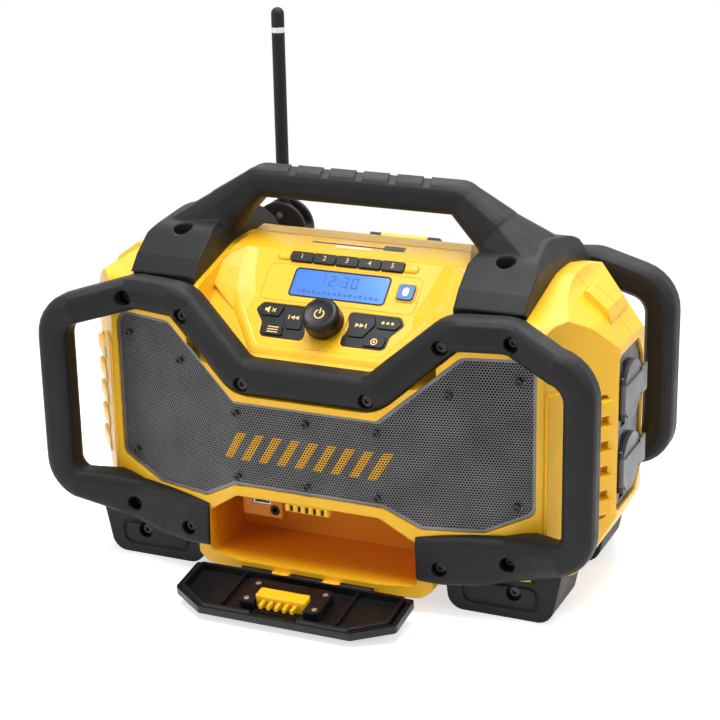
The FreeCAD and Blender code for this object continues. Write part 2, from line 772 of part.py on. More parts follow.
def rear_guard_nodes():
    """Right rear roll bar, from its upper end round to its lower end."""
    depth = REAR_BAR_DEPTH
    return [(134, 207, REAR_BAR_Y, 24, depth, 0), (146, 208, REAR_BAR_Y, 24, depth, 20),
            (BAR_X - 2.5, BAR_TOP_Z, REAR_BAR_Y, BAR_WIDTH + 1, depth, BAR_CORNER_R),
            (BAR_X - 2.5, BAR_BOTTOM_Z + 2, REAR_BAR_Y, BAR_WIDTH + 1, depth, BAR_CORNER_R - 4),
            (162, 65, REAR_BAR_Y, 34, depth, 0), (120, 50, REAR_BAR_Y, 34, 20, 0),
            (98, 46, REAR_BAR_Y, 34, 20, 0)]


def guard_screw_y(x, proud):
    """Front of a roll-bar screw's head, proud of the grille's plane."""
    return front_y(x) - proud


def guard_screw_reach(x, proud):
    """Length of a roll-bar screw under the top of its head."""
    return SCREW_BITE + proud


def front_guard(outer):
    right = front_guard_nodes()
    left = [(-node[0],) + node[1:] for node in right]
    shape = bar(list(reversed(right)) + left).cut(outer)
    for x, z, proud in GUARD_SCREWS:
        head_y = guard_screw_y(x, proud)
        stop = front_y(x, -RIM_RAISE) + BOSS_DEPTH
        boss = rod_y(x, head_y, stop, z, BOSS_R)
        well = rod_y(x, -60, head_y + SCREW_HEAD_H, z, SCREW_WELL_R)
        hole = rod_y(x, -60, head_y + guard_screw_reach(x, proud) + 1, z, SCREW_SHANK_R + FIT_GAP)
        shape = shape.multiFuse(both_sides(boss))
        shape = cut_all(shape, both_sides(well) + both_sides(hole))
    return shape


def rear_screw_y():
    """Back of a rear roll-bar screw's head."""
    return REAR_BAR_Y + REAR_SCREW_SUNK + SCREW_HEAD_H


def rear_guard(outer):
    shape = bar(rear_guard_nodes()).cut(outer)
    for z in REAR_SCREW_Z:
        well = rod_y(REAR_SCREW_X, rear_screw_y() - SCREW_HEAD_H, FAR, z, SCREW_WELL_R)
        hole = rod_y(REAR_SCREW_X, 0, FAR, z, SCREW_SHANK_R + FIT_GAP)
        shape = shape.cut(well.fuse(hole))
    return shape


def rear_screws():
    """Screws of both rear roll bars, driven from the back."""
    length = SCREW_LENGTH + REAR_SCREW_SUNK
    shapes = []
    for z in REAR_SCREW_Z:
        turned = screw(0, 0, 0, length=length).mirror(V(0, 0, 0), V(0, 1, 0))
        shapes += both_sides(turned.translated(V(REAR_SCREW_X, rear_screw_y(), z)))
    return shapes


def carry_handle(outer):
    nodes = [(128, 232, BODY_MID_Y - 34, 46, 68, 0), (104, 256, BODY_MID_Y - 19, 30, 38, 10),
             (GRIP_X, GRIP_Z, BODY_MID_Y - GRIP_DEPTH / 2, GRIP_HEIGHT, GRIP_DEPTH, 8)]
    left = [(-node[0],) + node[1:] for node in reversed(nodes)]
    shape = bar(nodes + left)
    front = BODY_MID_Y - STRAP_HALF
    back = BODY_MID_Y + STRAP_HALF
    profile = [(front, 190), (front, 218, 3), (front + 12, 231, 8), (front + 34, 246, 30),
               (BODY_MID_Y, STRAP_TOP + 2, 60), (back - 34, 246, 30), (back - 12, 231, 8),
               (back, 218, 3), (back, 190)]
    ends = [(STRAP_IN_X, 190), (STRAP_IN_X, 243, 2), (STRAP_IN_X + 6, 253, 2),
            (STRAP_OUT_X - 8, 253, 2), (STRAP_OUT_X, 242, 2), (STRAP_OUT_X, 190)]
    strap = along_x(profile, STRAP_IN_X, STRAP_OUT_X).common(along_y(ends, -FAR, FAR))
    shape = fuse_all([shape] + both_sides(strap.cut(strap_notch()))).cut(outer)
    top = GRIP_Z + GRIP_HEIGHT / 2
    for i in range(NOTCH_COUNT):
        x = (i - (NOTCH_COUNT - 1) / 2) * NOTCH_PITCH
        notch = box(-NOTCH_WIDTH / 2, NOTCH_WIDTH / 2, -GRIP_DEPTH, GRIP_DEPTH, -NOTCH_DEPTH, 10)
        notch.Placement = FreeCAD.Placement(V(x, BODY_MID_Y, top),
                                            FreeCAD.Rotation(V(0, 0, 1), NOTCH_LEAN))
        shape = shape.cut(notch)
    for x, y in handle_screw_places():
        well = rod_z(x, y, HANDLE_SEAT_Z, FAR, HANDLE_HOLE_R)
        hole = rod_z(x, y, HANDLE_SEAT_Z - 2 * HANDLE_SCREW_LENGTH, FAR, SCREW_SHANK_R + FIT_GAP)
        shape = shape.cut(well.fuse(hole))
    return shape


def handle_screw_places():
    offsets = (-HANDLE_HOLE_DY, HANDLE_HOLE_DY)
    return [(x, BODY_MID_Y + dy) for x in (HANDLE_HOLE_X, -HANDLE_HOLE_X) for dy in offsets]


def handle_screw(x, y):
    top = HANDLE_SEAT_Z + SCREW_HEAD_H
    head = rod_z(x, y, HANDLE_SEAT_Z, top, SCREW_HEAD_R + 1)
    drive = rod_z(x, y, top - SCREW_HEAD_H / 2, top + 1, SCREW_HEAD_R * 0.5)
    shank = rod_z(x, y, HANDLE_SEAT_Z - HANDLE_SCREW_LENGTH, HANDLE_SEAT_Z, SCREW_SHANK_R)
    return head.cut(drive).fuse(shank)


def foot_boss():
    """Leg of the right front corner that the foot fits over."""
    front = FOOT_FRONT + FOOT_WALL
    back = FOOT_FRONT + FOOT_DEPTH - FOOT_WALL
    outline = rectangle(FOOT_IN_X + FOOT_WALL, FOOT_OUT_X - FOOT_WALL, FOOT_WALL, BODY_BOTTOM + 12, 4)
    return along_y(outline, front, back)


def foot(outer):
    """Rubber foot of the right front corner, a cup over its leg."""
    corners = [(FOOT_IN_X, BODY_BOTTOM + 8), (FOOT_IN_X + 4, 0, FOOT_CORNER),
               (FOOT_OUT_X - 8, 0, FOOT_CORNER), (FOOT_OUT_X, BODY_BOTTOM + 8)]
    block = along_y(corners, FOOT_FRONT, FOOT_FRONT + FOOT_DEPTH)
    panel = rectangle(FOOT_IN_X + 14, FOOT_OUT_X - 16, 7, BODY_BOTTOM - 3, 7)
    ridge = rectangle(FOOT_IN_X + 17, FOOT_OUT_X - 19, 10, BODY_BOTTOM - 6, 5)
    face = along_y(panel, 0, FOOT_FRONT + 1.5).cut(along_y(ridge, 0, FOOT_FRONT + 1.5))
    front = FOOT_FRONT + FOOT_WALL
    back = FOOT_FRONT + FOOT_DEPTH - FOOT_WALL
    pocket = rectangle(FOOT_IN_X + FOOT_WALL, FOOT_OUT_X - FOOT_WALL, FOOT_WALL, BODY_BOTTOM + 12, 4)
    hollow = along_y(pocket, front - SEAT_GAP, back + SEAT_GAP, SEAT_GAP)
    well = rod_y(FOOT_SCREW_X, 0, FOOT_FRONT + 3 + SCREW_HEAD_H, FOOT_SCREW_Z, SCREW_WELL_R)
    hole = rod_y(FOOT_SCREW_X, 0, front + 8, FOOT_SCREW_Z, SCREW_SHANK_R + FIT_GAP)
    return cut_all(block, [outer, face, hollow, well, hole])


def foot_screw():
    return screw(FOOT_SCREW_X, FOOT_FRONT + 3, FOOT_SCREW_Z)


def shut_hinge_y():
    """Y of the compartment door's hinge axis."""
    return front_y(0, -RIM_RAISE) - SEAT_GAP - KNUCKLE_R


def swing(shape, angle=DOOR_OPEN):
    """Turn a piece of the shut door forwards about its hinge."""
    turned = shape.copy()
    turned.rotate(V(0, shut_hinge_y(), HINGE_Z), V(1, 0, 0), angle)
    return turned


def door_inner_y():
    return front_y(0, -RIM_RAISE) - SEAT_GAP


def knuckle_spans(own):
    """X ranges of the hinge knuckles: the door's own, or the housing's between them."""
    places = (-KNUCKLE_PITCH * 1.5, 0.0, KNUCKLE_PITCH * 1.5) if own else (-20.0, 20.0)
    half = KNUCKLE_LENGTH / 2 if own else 6.5
    return [(x - half, x + half) for x in places]


def storage_door():
    inner = door_inner_y()
    outer = inner - DOOR_THICK
    low = HINGE_Z + KNUCKLE_R + 1
    half = [(DOOR_TOP_X, HINGE_Z + DOOR_HEIGHT, 4), (DOOR_X, HINGE_Z + DOOR_SHOULDER, 4), (DOOR_X, low, 2)]
    plate = along_y(mirrored(half), outer, inner)
    recess = along_y(mirrored(half), outer + DOOR_WALL, inner + 1, -3.5)
    lip_out = along_y(bin_outline(), inner - DOOR_THICK + 1, inner + 3, -1.0)
    lip_in = along_y(bin_outline(), inner - DOOR_THICK, inner + 4, -3.0)
    rib = [box(x - 1, x + 1, outer + 1, inner, low + 2, HINGE_Z + DOOR_SHOULDER + 8) for x in (-44, 44)]
    shape = plate.cut(recess)
    strike_gap = box(-STRIKE_X - 1, STRIKE_X + 1, inner, inner + DOOR_THICK, BIN_TOP - STRIKE_DROP - 1,
                     BIN_TOP + 5)
    lip = lip_out.cut(lip_in).cut(strike_gap)
    shape = fuse_all([shape, lip] + rib)
    seat = box(-COVER_X, COVER_X, outer + 1, inner - COVER_THICK + 2.2, HINGE_Z + COVER_BOTTOM,
               HINGE_Z + COVER_TOP)
    shape = shape.fuse(seat)
    shape = shape.cut(box(-COVER_X - SEAT_GAP, COVER_X + SEAT_GAP, outer + DOOR_WALL + SEAT_GAP,
                          inner + 10, HINGE_Z + COVER_BOTTOM - SEAT_GAP, HINGE_Z + COVER_TOP + SEAT_GAP))
    barrels = []
    for x0, x1 in knuckle_spans(True):
        barrel = rod_x(x0, x1, shut_hinge_y(), HINGE_Z, KNUCKLE_R)
        web = box(x0, x1, outer, inner - 1, HINGE_Z, low + 2)
        barrels.append(barrel.fuse(web))
    shape = fuse_all([shape] + barrels)
    for x0, x1 in knuckle_spans(False):
        shape = shape.cut(box(x0 - SEAT_GAP, x1 + SEAT_GAP, outer - 1, inner + 5, 0, low + 3))
    bore = rod_x(-70, 70, shut_hinge_y(), HINGE_Z, DOOR_PIN_R + FIT_GAP)
    return swing(shape.cut(bore))


def latch_screw_places():
    return [(x, HINGE_Z + v) for x in (-26.0, 26.0) for v in (COVER_BOTTOM + 5, COVER_TOP - 5)]


def latch_cover():
    """Black plate on the door's inner face that the latch slides under."""
    inner = door_inner_y()
    base = inner - DOOR_THICK + DOOR_WALL + 2 * SEAT_GAP
    top = inner + COVER_THICK
    outline = rectangle(-COVER_X, COVER_X, HINGE_Z + COVER_BOTTOM, HINGE_Z + COVER_TOP, 4)
    shape = along_y(outline, base, top)
    window = box(-LATCH_X - SEAT_GAP, LATCH_X + SEAT_GAP, base + 1, top + 1,
                 HINGE_Z + LATCH_V - LATCH_LENGTH / 2 - SEAT_GAP, HINGE_Z + COVER_TOP + 1)
    shape = shape.cut(window)
    for x, z in latch_screw_places():
        shape = shape.cut(rod_y(x, base - 1, top + 1, z, 1.0 + FIT_GAP))
        shape = shape.cut(rod_y(x, top - 1.2, top + 1, z, 2.3))
    return swing(shape)


def latch_screws():
    shapes = []
    top = door_inner_y() + COVER_THICK
    for x, z in latch_screw_places():
        head = rod_y(x, top - 1.2, top - 0.2, z, 2.0)
        shapes.append(swing(head.fuse(rod_y(x, top - 6, top - 1.2, z, 1.0))))
    return Part.makeCompound(shapes)


def door_latch():
    """Sliding bolt whose teeth enter the strike when the door is shut."""
    inner = door_inner_y()
    floor = inner - DOOR_THICK + DOOR_WALL + 2 * SEAT_GAP + 1 + SEAT_GAP
    low = HINGE_Z + LATCH_V - LATCH_LENGTH / 2
    reach = BIN_TOP - STRIKE_DROP - 2 * SEAT_GAP
    grip = along_y(rectangle(-LATCH_X, LATCH_X, low, low + LATCH_LENGTH, 1.5), floor, inner + 8)
    teeth = latch_teeth(0.0, inner + TOOTH_FRONT, inner + TOOTH_BACK, low + LATCH_LENGTH - 2, reach)
    return swing(fuse_all([grip] + teeth))


def housing_knuckles():
    """Hinge knuckles that stand out of the housing's lower edge."""
    shapes = []
    for x0, x1 in knuckle_spans(False):
        barrel = rod_x(x0, x1, shut_hinge_y(), HINGE_Z, KNUCKLE_R)
        web = box(x0, x1, shut_hinge_y(), -10, HINGE_Z - KNUCKLE_R, HINGE_Z + KNUCKLE_R - 2)
        shapes.append(barrel.fuse(web).cut(rod_x(-70, 70, shut_hinge_y(), HINGE_Z, DOOR_PIN_R + FIT_GAP)))
    return shapes


def door_pin():
    reach = knuckle_spans(True)[-1][1] - 1
    return rod_x(-reach, reach, shut_hinge_y(), HINGE_Z, DOOR_PIN_R)


def aerial_y():
    return BACK_Y + SEAT_GAP + AERIAL_BASE_DEPTH / 2


def aerial_base():
    """Round boss with a slot that holds the aerial's hinge."""
    back = BACK_Y + SEAT_GAP
    disc = rod_y(AERIAL_X, back, back + AERIAL_BASE_DEPTH, AERIAL_BASE_Z, AERIAL_BASE_R)
    slot = box(AERIAL_X - 30, AERIAL_X + 30, aerial_y() - AERIAL_R - SEAT_GAP,
               aerial_y() + AERIAL_R + SEAT_GAP, AERIAL_Z - AERIAL_HUB_R - SEAT_GAP, AERIAL_Z + 30)
    hole = rod_y(AERIAL_X, back - 1, back + AERIAL_BASE_DEPTH + 1, AERIAL_Z, AERIAL_PIN_R + FIT_GAP)
    return disc.cut(slot).cut(hole)


def aerial_pin():
    back = BACK_Y + SEAT_GAP
    return rod_y(AERIAL_X, back + 0.5, back + AERIAL_BASE_DEPTH, AERIAL_Z, AERIAL_PIN_R)


def aerial_whip():
    y = aerial_y()
    hub = rod_y(AERIAL_X, y - AERIAL_R, y + AERIAL_R, AERIAL_Z, AERIAL_HUB_R)
    stem = rod_z(AERIAL_X, y, AERIAL_Z, AERIAL_RING_Z, AERIAL_R)
    neck = rod_z(AERIAL_X, y, AERIAL_RING_Z, AERIAL_RING_Z + 4, AERIAL_R - 1.5)
    bore = rod_y(AERIAL_X, y - 20, y + 20, AERIAL_Z, AERIAL_PIN_R + FIT_GAP)
    return fuse_all([hub, stem, neck]).cut(bore)


def aerial_ring():
    ring = rod_z(AERIAL_X, aerial_y(), AERIAL_RING_Z, AERIAL_RING_Z + 4, AERIAL_R + 0.2)
    return ring.cut(rod_z(AERIAL_X, aerial_y(), AERIAL_RING_Z - 1, AERIAL_RING_Z + 6,
                          AERIAL_R - 1.5 + FIT_GAP))


def aerial_cap():
    low = AERIAL_RING_Z + 4
    stem = rod_z(AERIAL_X, aerial_y(), low, AERIAL_TOP - AERIAL_R, AERIAL_R)
    dome = Part.makeSphere(AERIAL_R, V(AERIAL_X, aerial_y(), AERIAL_TOP - AERIAL_R))
    return stem.fuse(dome).removeSplitter()


def pack_hinge_y():
    return BACK_Y + PACK_HINGE_R + SEAT_GAP


def pack_door_recess():
    opening = along_y(rectangle(-PACK_DOOR_X, PACK_DOOR_X, PACK_DOOR_LOW, PACK_DOOR_HIGH),
                      BACK_Y - PACK_DOOR_THICK - SEAT_GAP, FAR, SEAT_GAP)
    notch = box(-PACK_LUG_X - 1, PACK_LUG_X + 1, 161, FAR, PACK_DOOR_HIGH - 1, DECK_TOP)
    return opening.fuse(notch)


def pack_door():
    """Battery door hinged along its lower edge."""
    face = BACK_Y - PACK_DOOR_THICK
    plate = along_y(rectangle(-PACK_DOOR_X, PACK_DOOR_X, PACK_DOOR_LOW, PACK_DOOR_HIGH, 4), face, BACK_Y)
    lip = box(-PACK_LUG_X, PACK_LUG_X, face, BACK_Y, PACK_DOOR_HIGH - 6, PACK_DOOR_HIGH + 4)
    lug = along_x(pack_grip_outline(PACK_DOOR_HIGH + 3), PACK_LATCH_X + SEAT_GAP, PACK_LUG_X)
    ribs = [box(-PACK_DOOR_X + 10, PACK_DOOR_X - 10, BACK_Y, BACK_Y + PACK_RIB_PROUD, z, z + PACK_RIB_HEIGHT)
            for z in PACK_RIB_Z]
    barrel = rod_x(-50, 50, pack_hinge_y(), PACK_DOOR_LOW, PACK_HINGE_R)
    web = box(-50, 50, BACK_Y - 3, pack_hinge_y(), PACK_DOOR_LOW, PACK_DOOR_LOW + PACK_HINGE_R)
    shape = fuse_all([plate, lip, barrel, web] + both_sides(lug) + ribs)
    for side in (-1, 1):
        x = side * 38
        shape = shape.cut(box(x - 6 - SEAT_GAP, x + 6 + SEAT_GAP, face - 1, FAR, 0,
                              PACK_DOOR_LOW + PACK_HINGE_R + SEAT_GAP))
    return shape.cut(rod_x(-FAR, FAR, pack_hinge_y(), PACK_DOOR_LOW, PACK_PIN_R + FIT_GAP))


def pack_knuckles():
    shapes = []
    for x in (-38, 38):
        barrel = rod_x(x - 6, x + 6, pack_hinge_y(), PACK_DOOR_LOW, PACK_HINGE_R)
        web = box(x - 6, x + 6, BACK_Y - 12, pack_hinge_y(), PACK_DOOR_LOW - PACK_HINGE_R,
                  PACK_DOOR_LOW)
        shape = barrel.fuse(web)
        shapes.append(shape.cut(rod_x(-FAR, FAR, pack_hinge_y(), PACK_DOOR_LOW, PACK_PIN_R + FIT_GAP)))
    return shapes


def pack_grip_outline(low):
    """Side view of the battery catch and of the lugs at its ends."""
    high = PACK_DOOR_HIGH + 4 + SEAT_GAP
    return [(165, low), (165, high + 9, 3), (169, high + 12.5, 3), (175.5, high + 9, 3), (175.5, low)]


def pack_latch():
    """Sprung catch on top of the battery door."""
    low = PACK_DOOR_HIGH + 4 + SEAT_GAP
    grip = along_x(pack_grip_outline(low), -PACK_LATCH_X, PACK_LATCH_X)
    slots = [box(x - 1, x + 1, 172, 180, low + 2, low + 14) for x in (-14, -7, 0, 7, 14)]
    return cut_all(grip, slots)


def battery_dock():
    """Rails and contact block for the battery pack, at the front of its bay."""
    base = BAY_FRONT + SEAT_GAP
    rails = [box(x - 4, x + 4, base, base + DOCK_RAIL, 100, 170) for x in (-DOCK_RAIL_X, DOCK_RAIL_X)]
    plate = box(-DOCK_X, DOCK_X, base, base + DOCK_PLATE, 95, 175)
    contacts = [box(x - 1, x + 1, base + DOCK_PLATE, base + DOCK_BLADE, 125, 150) for x in DOCK_BLADE_X]
    return fuse_all([plate] + rails + contacts)


def outlet_recess_outline():
    low = SIDE_BOTTOM + 4
    high = SIDE_TOP - 6
    front = SIDE_Y_FRONT + 1
    back = 2 * BODY_MID_Y - SIDE_Y_FRONT - 3
    return [(front, low, 4), (back - 12, low, 4), (back, low + 16, 4), (back, high - 16, 4),
            (back - 12, high, 4), (front, high, 4)]


def outlet_panel():
    outer = SIDE_X - PANEL_INSET
    plate = along_x(outlet_recess_outline(), outer - OUTLET_PLATE, outer)
    for z in OUTLET_Z:
        plate = plate.cut(rod_x(outer - 10, outer + 10, OUTLET_Y, z, SOCKET_R + SEAT_GAP))
        for dz in (OUTLET_R + 1, -OUTLET_R - 1):
            sign = 1 if dz > 0 else -1
            notch = [(OUTLET_Y - 17, z + dz - sign * 8), (OUTLET_Y - 17, z + dz + sign * 2),
                     (OUTLET_Y - 6, z + dz + sign * 2)]
            plate = plate.cut(along_x(notch, outer - OUTLET_PLATE / 2, outer + 5))
        lug = outlet_hinge(z, ((z + 11, z + 15), (z - 15, z - 11)))
        plate = fuse_all([plate] + lug)
        plate = plate.cut(rod_z(outlet_hinge_x(), outlet_hinge_y(), z - 20, z + 20, COVER_PIN_R + FIT_GAP))
    return plate


def outlet_hinge_x():
    return SIDE_X - PANEL_INSET + SEAT_GAP + COVER_HINGE_R


def outlet_hinge_y():
    return OUTLET_Y - OUTLET_R - COVER_HINGE_R - 0.5


def outlet_hinge(z, spans):
    """Barrels of a cover's hinge, each with a foot on the panel."""
    shapes = []
    for z0, z1 in spans:
        low, high = min(z0, z1), max(z0, z1)
        barrel = rod_z(outlet_hinge_x(), outlet_hinge_y(), low, high, COVER_HINGE_R)
        foot_part = box(SIDE_X - PANEL_INSET - 1, outlet_hinge_x(), outlet_hinge_y() - COVER_HINGE_R,
                        outlet_hinge_y() + COVER_HINGE_R, low, high)
        shapes.append(barrel.fuse(foot_part))
    return shapes


def outlet_cover(z):
    """Round flap over one outlet, hinged at its front edge with a finger tab at the back."""
    inner = SIDE_X - PANEL_INSET + SEAT_GAP
    disc = rod_x(inner, inner + COVER_DISC, OUTLET_Y, z, OUTLET_R)
    strap = box(inner, inner + COVER_DISC + 1.2, outlet_hinge_y(), OUTLET_Y + OUTLET_R + TAB_LENGTH - 2,
                z - 8, z + 8)
    tab = box(inner + COVER_DISC - 1, inner + COVER_DISC + 1.2, OUTLET_Y + OUTLET_R - 4,
              OUTLET_Y + OUTLET_R + TAB_LENGTH, z - 10, z + 10)
    barrel = rod_z(outlet_hinge_x(), outlet_hinge_y(), z - 10.7, z + 10.7, COVER_HINGE_R)
    shape = fuse_all([disc, strap, tab, barrel])
    return shape.cut(rod_z(outlet_hinge_x(), outlet_hinge_y(), z - 20, z + 20, COVER_PIN_R + FIT_GAP))


def outlet_pins():
    return Part.makeCompound([rod_z(outlet_hinge_x(), outlet_hinge_y(), z - 15, z + 15, COVER_PIN_R)
                              for z in OUTLET_Z])


def outlet_socket(z):
    """Socket insert with a round well and two contact holes."""
    outer = SIDE_X - PANEL_INSET
    body = rod_x(outer - SOCKET_DEPTH, outer - 0.2, OUTLET_Y, z, SOCKET_R)
    well = rod_x(outer - 10, outer + 1, OUTLET_Y, z, SOCKET_R - 3)
    pins = [rod_x(outer - 14, outer, OUTLET_Y + dy, z, 2.4) for dy in (-8, 8)]
    return cut_all(body, [well] + pins)


def outlet_pocket():
    outer = SIDE_X - PANEL_INSET
    recess = along_x(outlet_recess_outline(), outer - OUTLET_PLATE - SEAT_GAP, FAR, SEAT_GAP)
    wells = [rod_x(outer - SOCKET_DEPTH - SEAT_GAP, FAR, OUTLET_Y, z, SOCKET_R + SEAT_GAP)
             for z in OUTLET_Z]
    return fuse_all([recess] + wells)


def mains_inlet():
    half = INLET_WIDTH / 2
    tall = INLET_HEIGHT / 2
    body = along_y(rectangle(INLET_X - half, INLET_X + half, INLET_Z - tall, INLET_Z + tall, 3),
                   BACK_Y - INLET_DEPTH, BACK_Y)
    well = along_y(rectangle(INLET_X - half + 3, INLET_X + half - 3, INLET_Z - tall + 3,
                             INLET_Z + tall - 3, 2), BACK_Y - INLET_DEPTH + 3, BACK_Y + 1)
    pins = [rod_y(INLET_X + dx, BACK_Y - INLET_DEPTH + 2, BACK_Y - 3, INLET_Z, 1.2) for dx in (-4.5, 4.5)]
    return fuse_all([body.cut(well)] + pins)


def mains_hole():
    half = INLET_WIDTH / 2
    tall = INLET_HEIGHT / 2
    return along_y(rectangle(INLET_X - half, INLET_X + half, INLET_Z - tall, INLET_Z + tall, 3),
                   BACK_Y - INLET_DEPTH - SEAT_GAP, BACK_Y + 5, SEAT_GAP)


def usb_socket():
    shell = box(PORT_X - 7, PORT_X + 7, PORT_FACE_Y, PORT_FACE_Y + 12, 52, 58)
    hollow = box(PORT_X - 6.2, PORT_X + 6.2, PORT_FACE_Y - 1, PORT_FACE_Y + 10, 52.8, 57.2)
    tongue = box(PORT_X - 5.5, PORT_X + 5.5, PORT_FACE_Y + 1, PORT_FACE_Y + 11, 55, 56.8)
    return shell.cut(hollow).fuse(tongue)


def aux_socket():
    body = rod_y(PORT_X + 10, PORT_FACE_Y, PORT_FACE_Y + 12, 48, 3.6)
    return body.cut(rod_y(PORT_X + 10, PORT_FACE_Y - 1, PORT_FACE_Y + 10, 48, 1.8))


def port_holes():
    usb = box(PORT_X - 7 - SEAT_GAP, PORT_X + 7 + SEAT_GAP, PORT_FACE_Y - 1,
              PORT_FACE_Y + 12 + SEAT_GAP, 52 - SEAT_GAP, 58 + SEAT_GAP)
    aux = rod_y(PORT_X + 10, PORT_FACE_Y - 1, PORT_FACE_Y + 12 + SEAT_GAP, 48, 3.6 + SEAT_GAP)
    return [usb, aux]


def main_board():
    """Circuit board on the floor of the housing's inside."""
    low = CAVITY_BOTTOM + SEAT_GAP
    board = box(-60, 60, CAVITY_FRONT + 8, BODY_MID_Y + 16, low + 4, low + 6)
    posts = [rod_z(x, y, low, low + 4, 3) for x in (-54, 54) for y in (CAVITY_FRONT + 14, BODY_MID_Y - 8)]
    parts = [box(-40, -20, 50, 66, low + 6, low + 12), box(4, 34, 44, 60, low + 6, low + 10),
             box(-10, 6, 70, 86, low + 6, low + 16)]
    return fuse_all([board] + posts + parts)


def charger_module():
    """Power supply beside the battery bay."""
    low = CAVITY_BOTTOM + SEAT_GAP
    return box(82, 142, 100, 146, low, low + 42)


def housing(outer):
    """Closed housing with its inside, openings, seats and screw holes, before it is split."""
    inside = along_x([(CAVITY_FRONT, CAVITY_BOTTOM), (CAVITY_FRONT, 178), (62, CAVITY_TOP),
                      (132, CAVITY_TOP), (CAVITY_BACK, 180), (CAVITY_BACK, CAVITY_BOTTOM)],
                     -CAVITY_X, CAVITY_X)
    bay = box(-BAY_X - BAY_WALL, BAY_X + BAY_WALL, BAY_FRONT - BAY_WALL, BACK_Y, BAY_LOW - BAY_WALL,
              BAY_HIGH + BAY_WALL)
    cuts = [inside.cut(bay), box(-BAY_X, BAY_X, BAY_FRONT, FAR, BAY_LOW, BAY_HIGH)]
    cuts.append(along_y(bin_outline(), -60, BIN_BACK).cut(port_block()).cut(strike()))
    cuts += port_holes()
    cuts.append(folded_sheet(grille_outline(), -20, GRILLE_THICK + SEAT_GAP, SEAT_GAP))
    cuts += [speaker_hole(1), speaker_hole(-1)]
    cuts += both_sides(rib_recess())
    cuts += [key_pocket(outline) for outline in key_outlines().values()]
    cuts += [key_pocket(preset_outline(i)) for i in range(PRESET_COUNT)]
    cuts += [key_pocket(pair_outline()), display_pocket(), encoder_hole()]
    pad = on_panel(along_z(pad_outline(), -PLATE_THICK - SEAT_GAP, 5, SEAT_GAP))
    cuts += both_sides(pad)
    cuts += [pack_door_recess(), outlet_pocket(), mains_hole()]
    for x, z, proud in GUARD_SCREWS:
        stop = front_y(x, -RIM_RAISE) + BOSS_DEPTH + SEAT_GAP
        tip = guard_screw_y(x, proud) + guard_screw_reach(x, proud)
        seat = rod_y(x, -60, stop, z, BOSS_R + SEAT_GAP)
        hole = rod_y(x, -60, tip + 1, z, SCREW_SHANK_R + FIT_GAP)
        cuts += both_sides(seat.fuse(hole))
    for x, z in grille_screw_places():
        cuts.append(rod_y(x, -60, front_y(x) + 9, z, 1.2 + FIT_GAP))
    for x, y in handle_screw_places():
        cuts.append(rod_z(x, y, HANDLE_SEAT_Z - HANDLE_SCREW_LENGTH - 2, DECK_TOP,
                          SCREW_SHANK_R + FIT_GAP))
    for z in REAR_SCREW_Z:
        tip = rear_screw_y() - SCREW_LENGTH - REAR_SCREW_SUNK
        cuts += both_sides(rod_y(REAR_SCREW_X, tip - 1, FAR, z, SCREW_SHANK_R + FIT_GAP))
    legs = both_sides(foot_boss())
    legs += [mirror_back(leg) for leg in legs]
    shape = fuse_all([outer] + legs)
    foot_hole = rod_y(FOOT_SCREW_X, 0, FOOT_FRONT + 3 + SCREW_LENGTH + 1, FOOT_SCREW_Z,
                      SCREW_SHANK_R + FIT_GAP)
    holes = both_sides(foot_hole)
    holes += [mirror_back(hole) for hole in holes]
    shape = cut_all(shape, cuts + holes)
    ribs = [side for rib in corner_ribs() for side in both_sides(rib)]
    return fuse_all([shape] + ribs + housing_knuckles() + pack_knuckles())


def grille_screw_places():
    places = [(side * x, z) for x, z in GRILLE_SCREWS for side in (1, -1)]
    return places + [(0.0, z) for z in GRILLE_SCREW_MID]


def grille():
    sheet = folded_sheet(grille_outline(), 0.0, GRILLE_THICK)
    holes = [rod_y(x, -60, 60, z, 1.2 + FIT_GAP) for x, z in grille_screw_places()]
    return cut_all(sheet, holes)


def grille_screws():
    shapes = []
    for x, z in grille_screw_places():
        y = front_y(abs(x) - GRILLE_SCREW_R) if abs(x) > FOLD_X else GRILLE_Y
        head = rod_y(x, y - 2.2, y - 0.1, z, GRILLE_SCREW_R)
        drive = rod_y(x, y - 3, y - 1.4, z, GRILLE_SCREW_R * 0.5)
        shapes.append(head.cut(drive).fuse(rod_y(x, y - 0.1, y + 8, z, 1.2)))
    return Part.makeCompound(shapes)


def keypad(side):
    plate = along_z(pad_outline(), -PLATE_THICK, 0)
    ring = rod_z(0, KNOB_V, -5, 5, KNOB_R + 2.5)
    shape = plate.cut(ring)
    for name in ("key_next", "key_mode", "key_enter"):
        shape = shape.cut(along_z(key_outlines()[name], -5, 5, KEY_GAP))
    shape = on_panel(shape)
    return shape if side > 0 else mirror_x(shape)


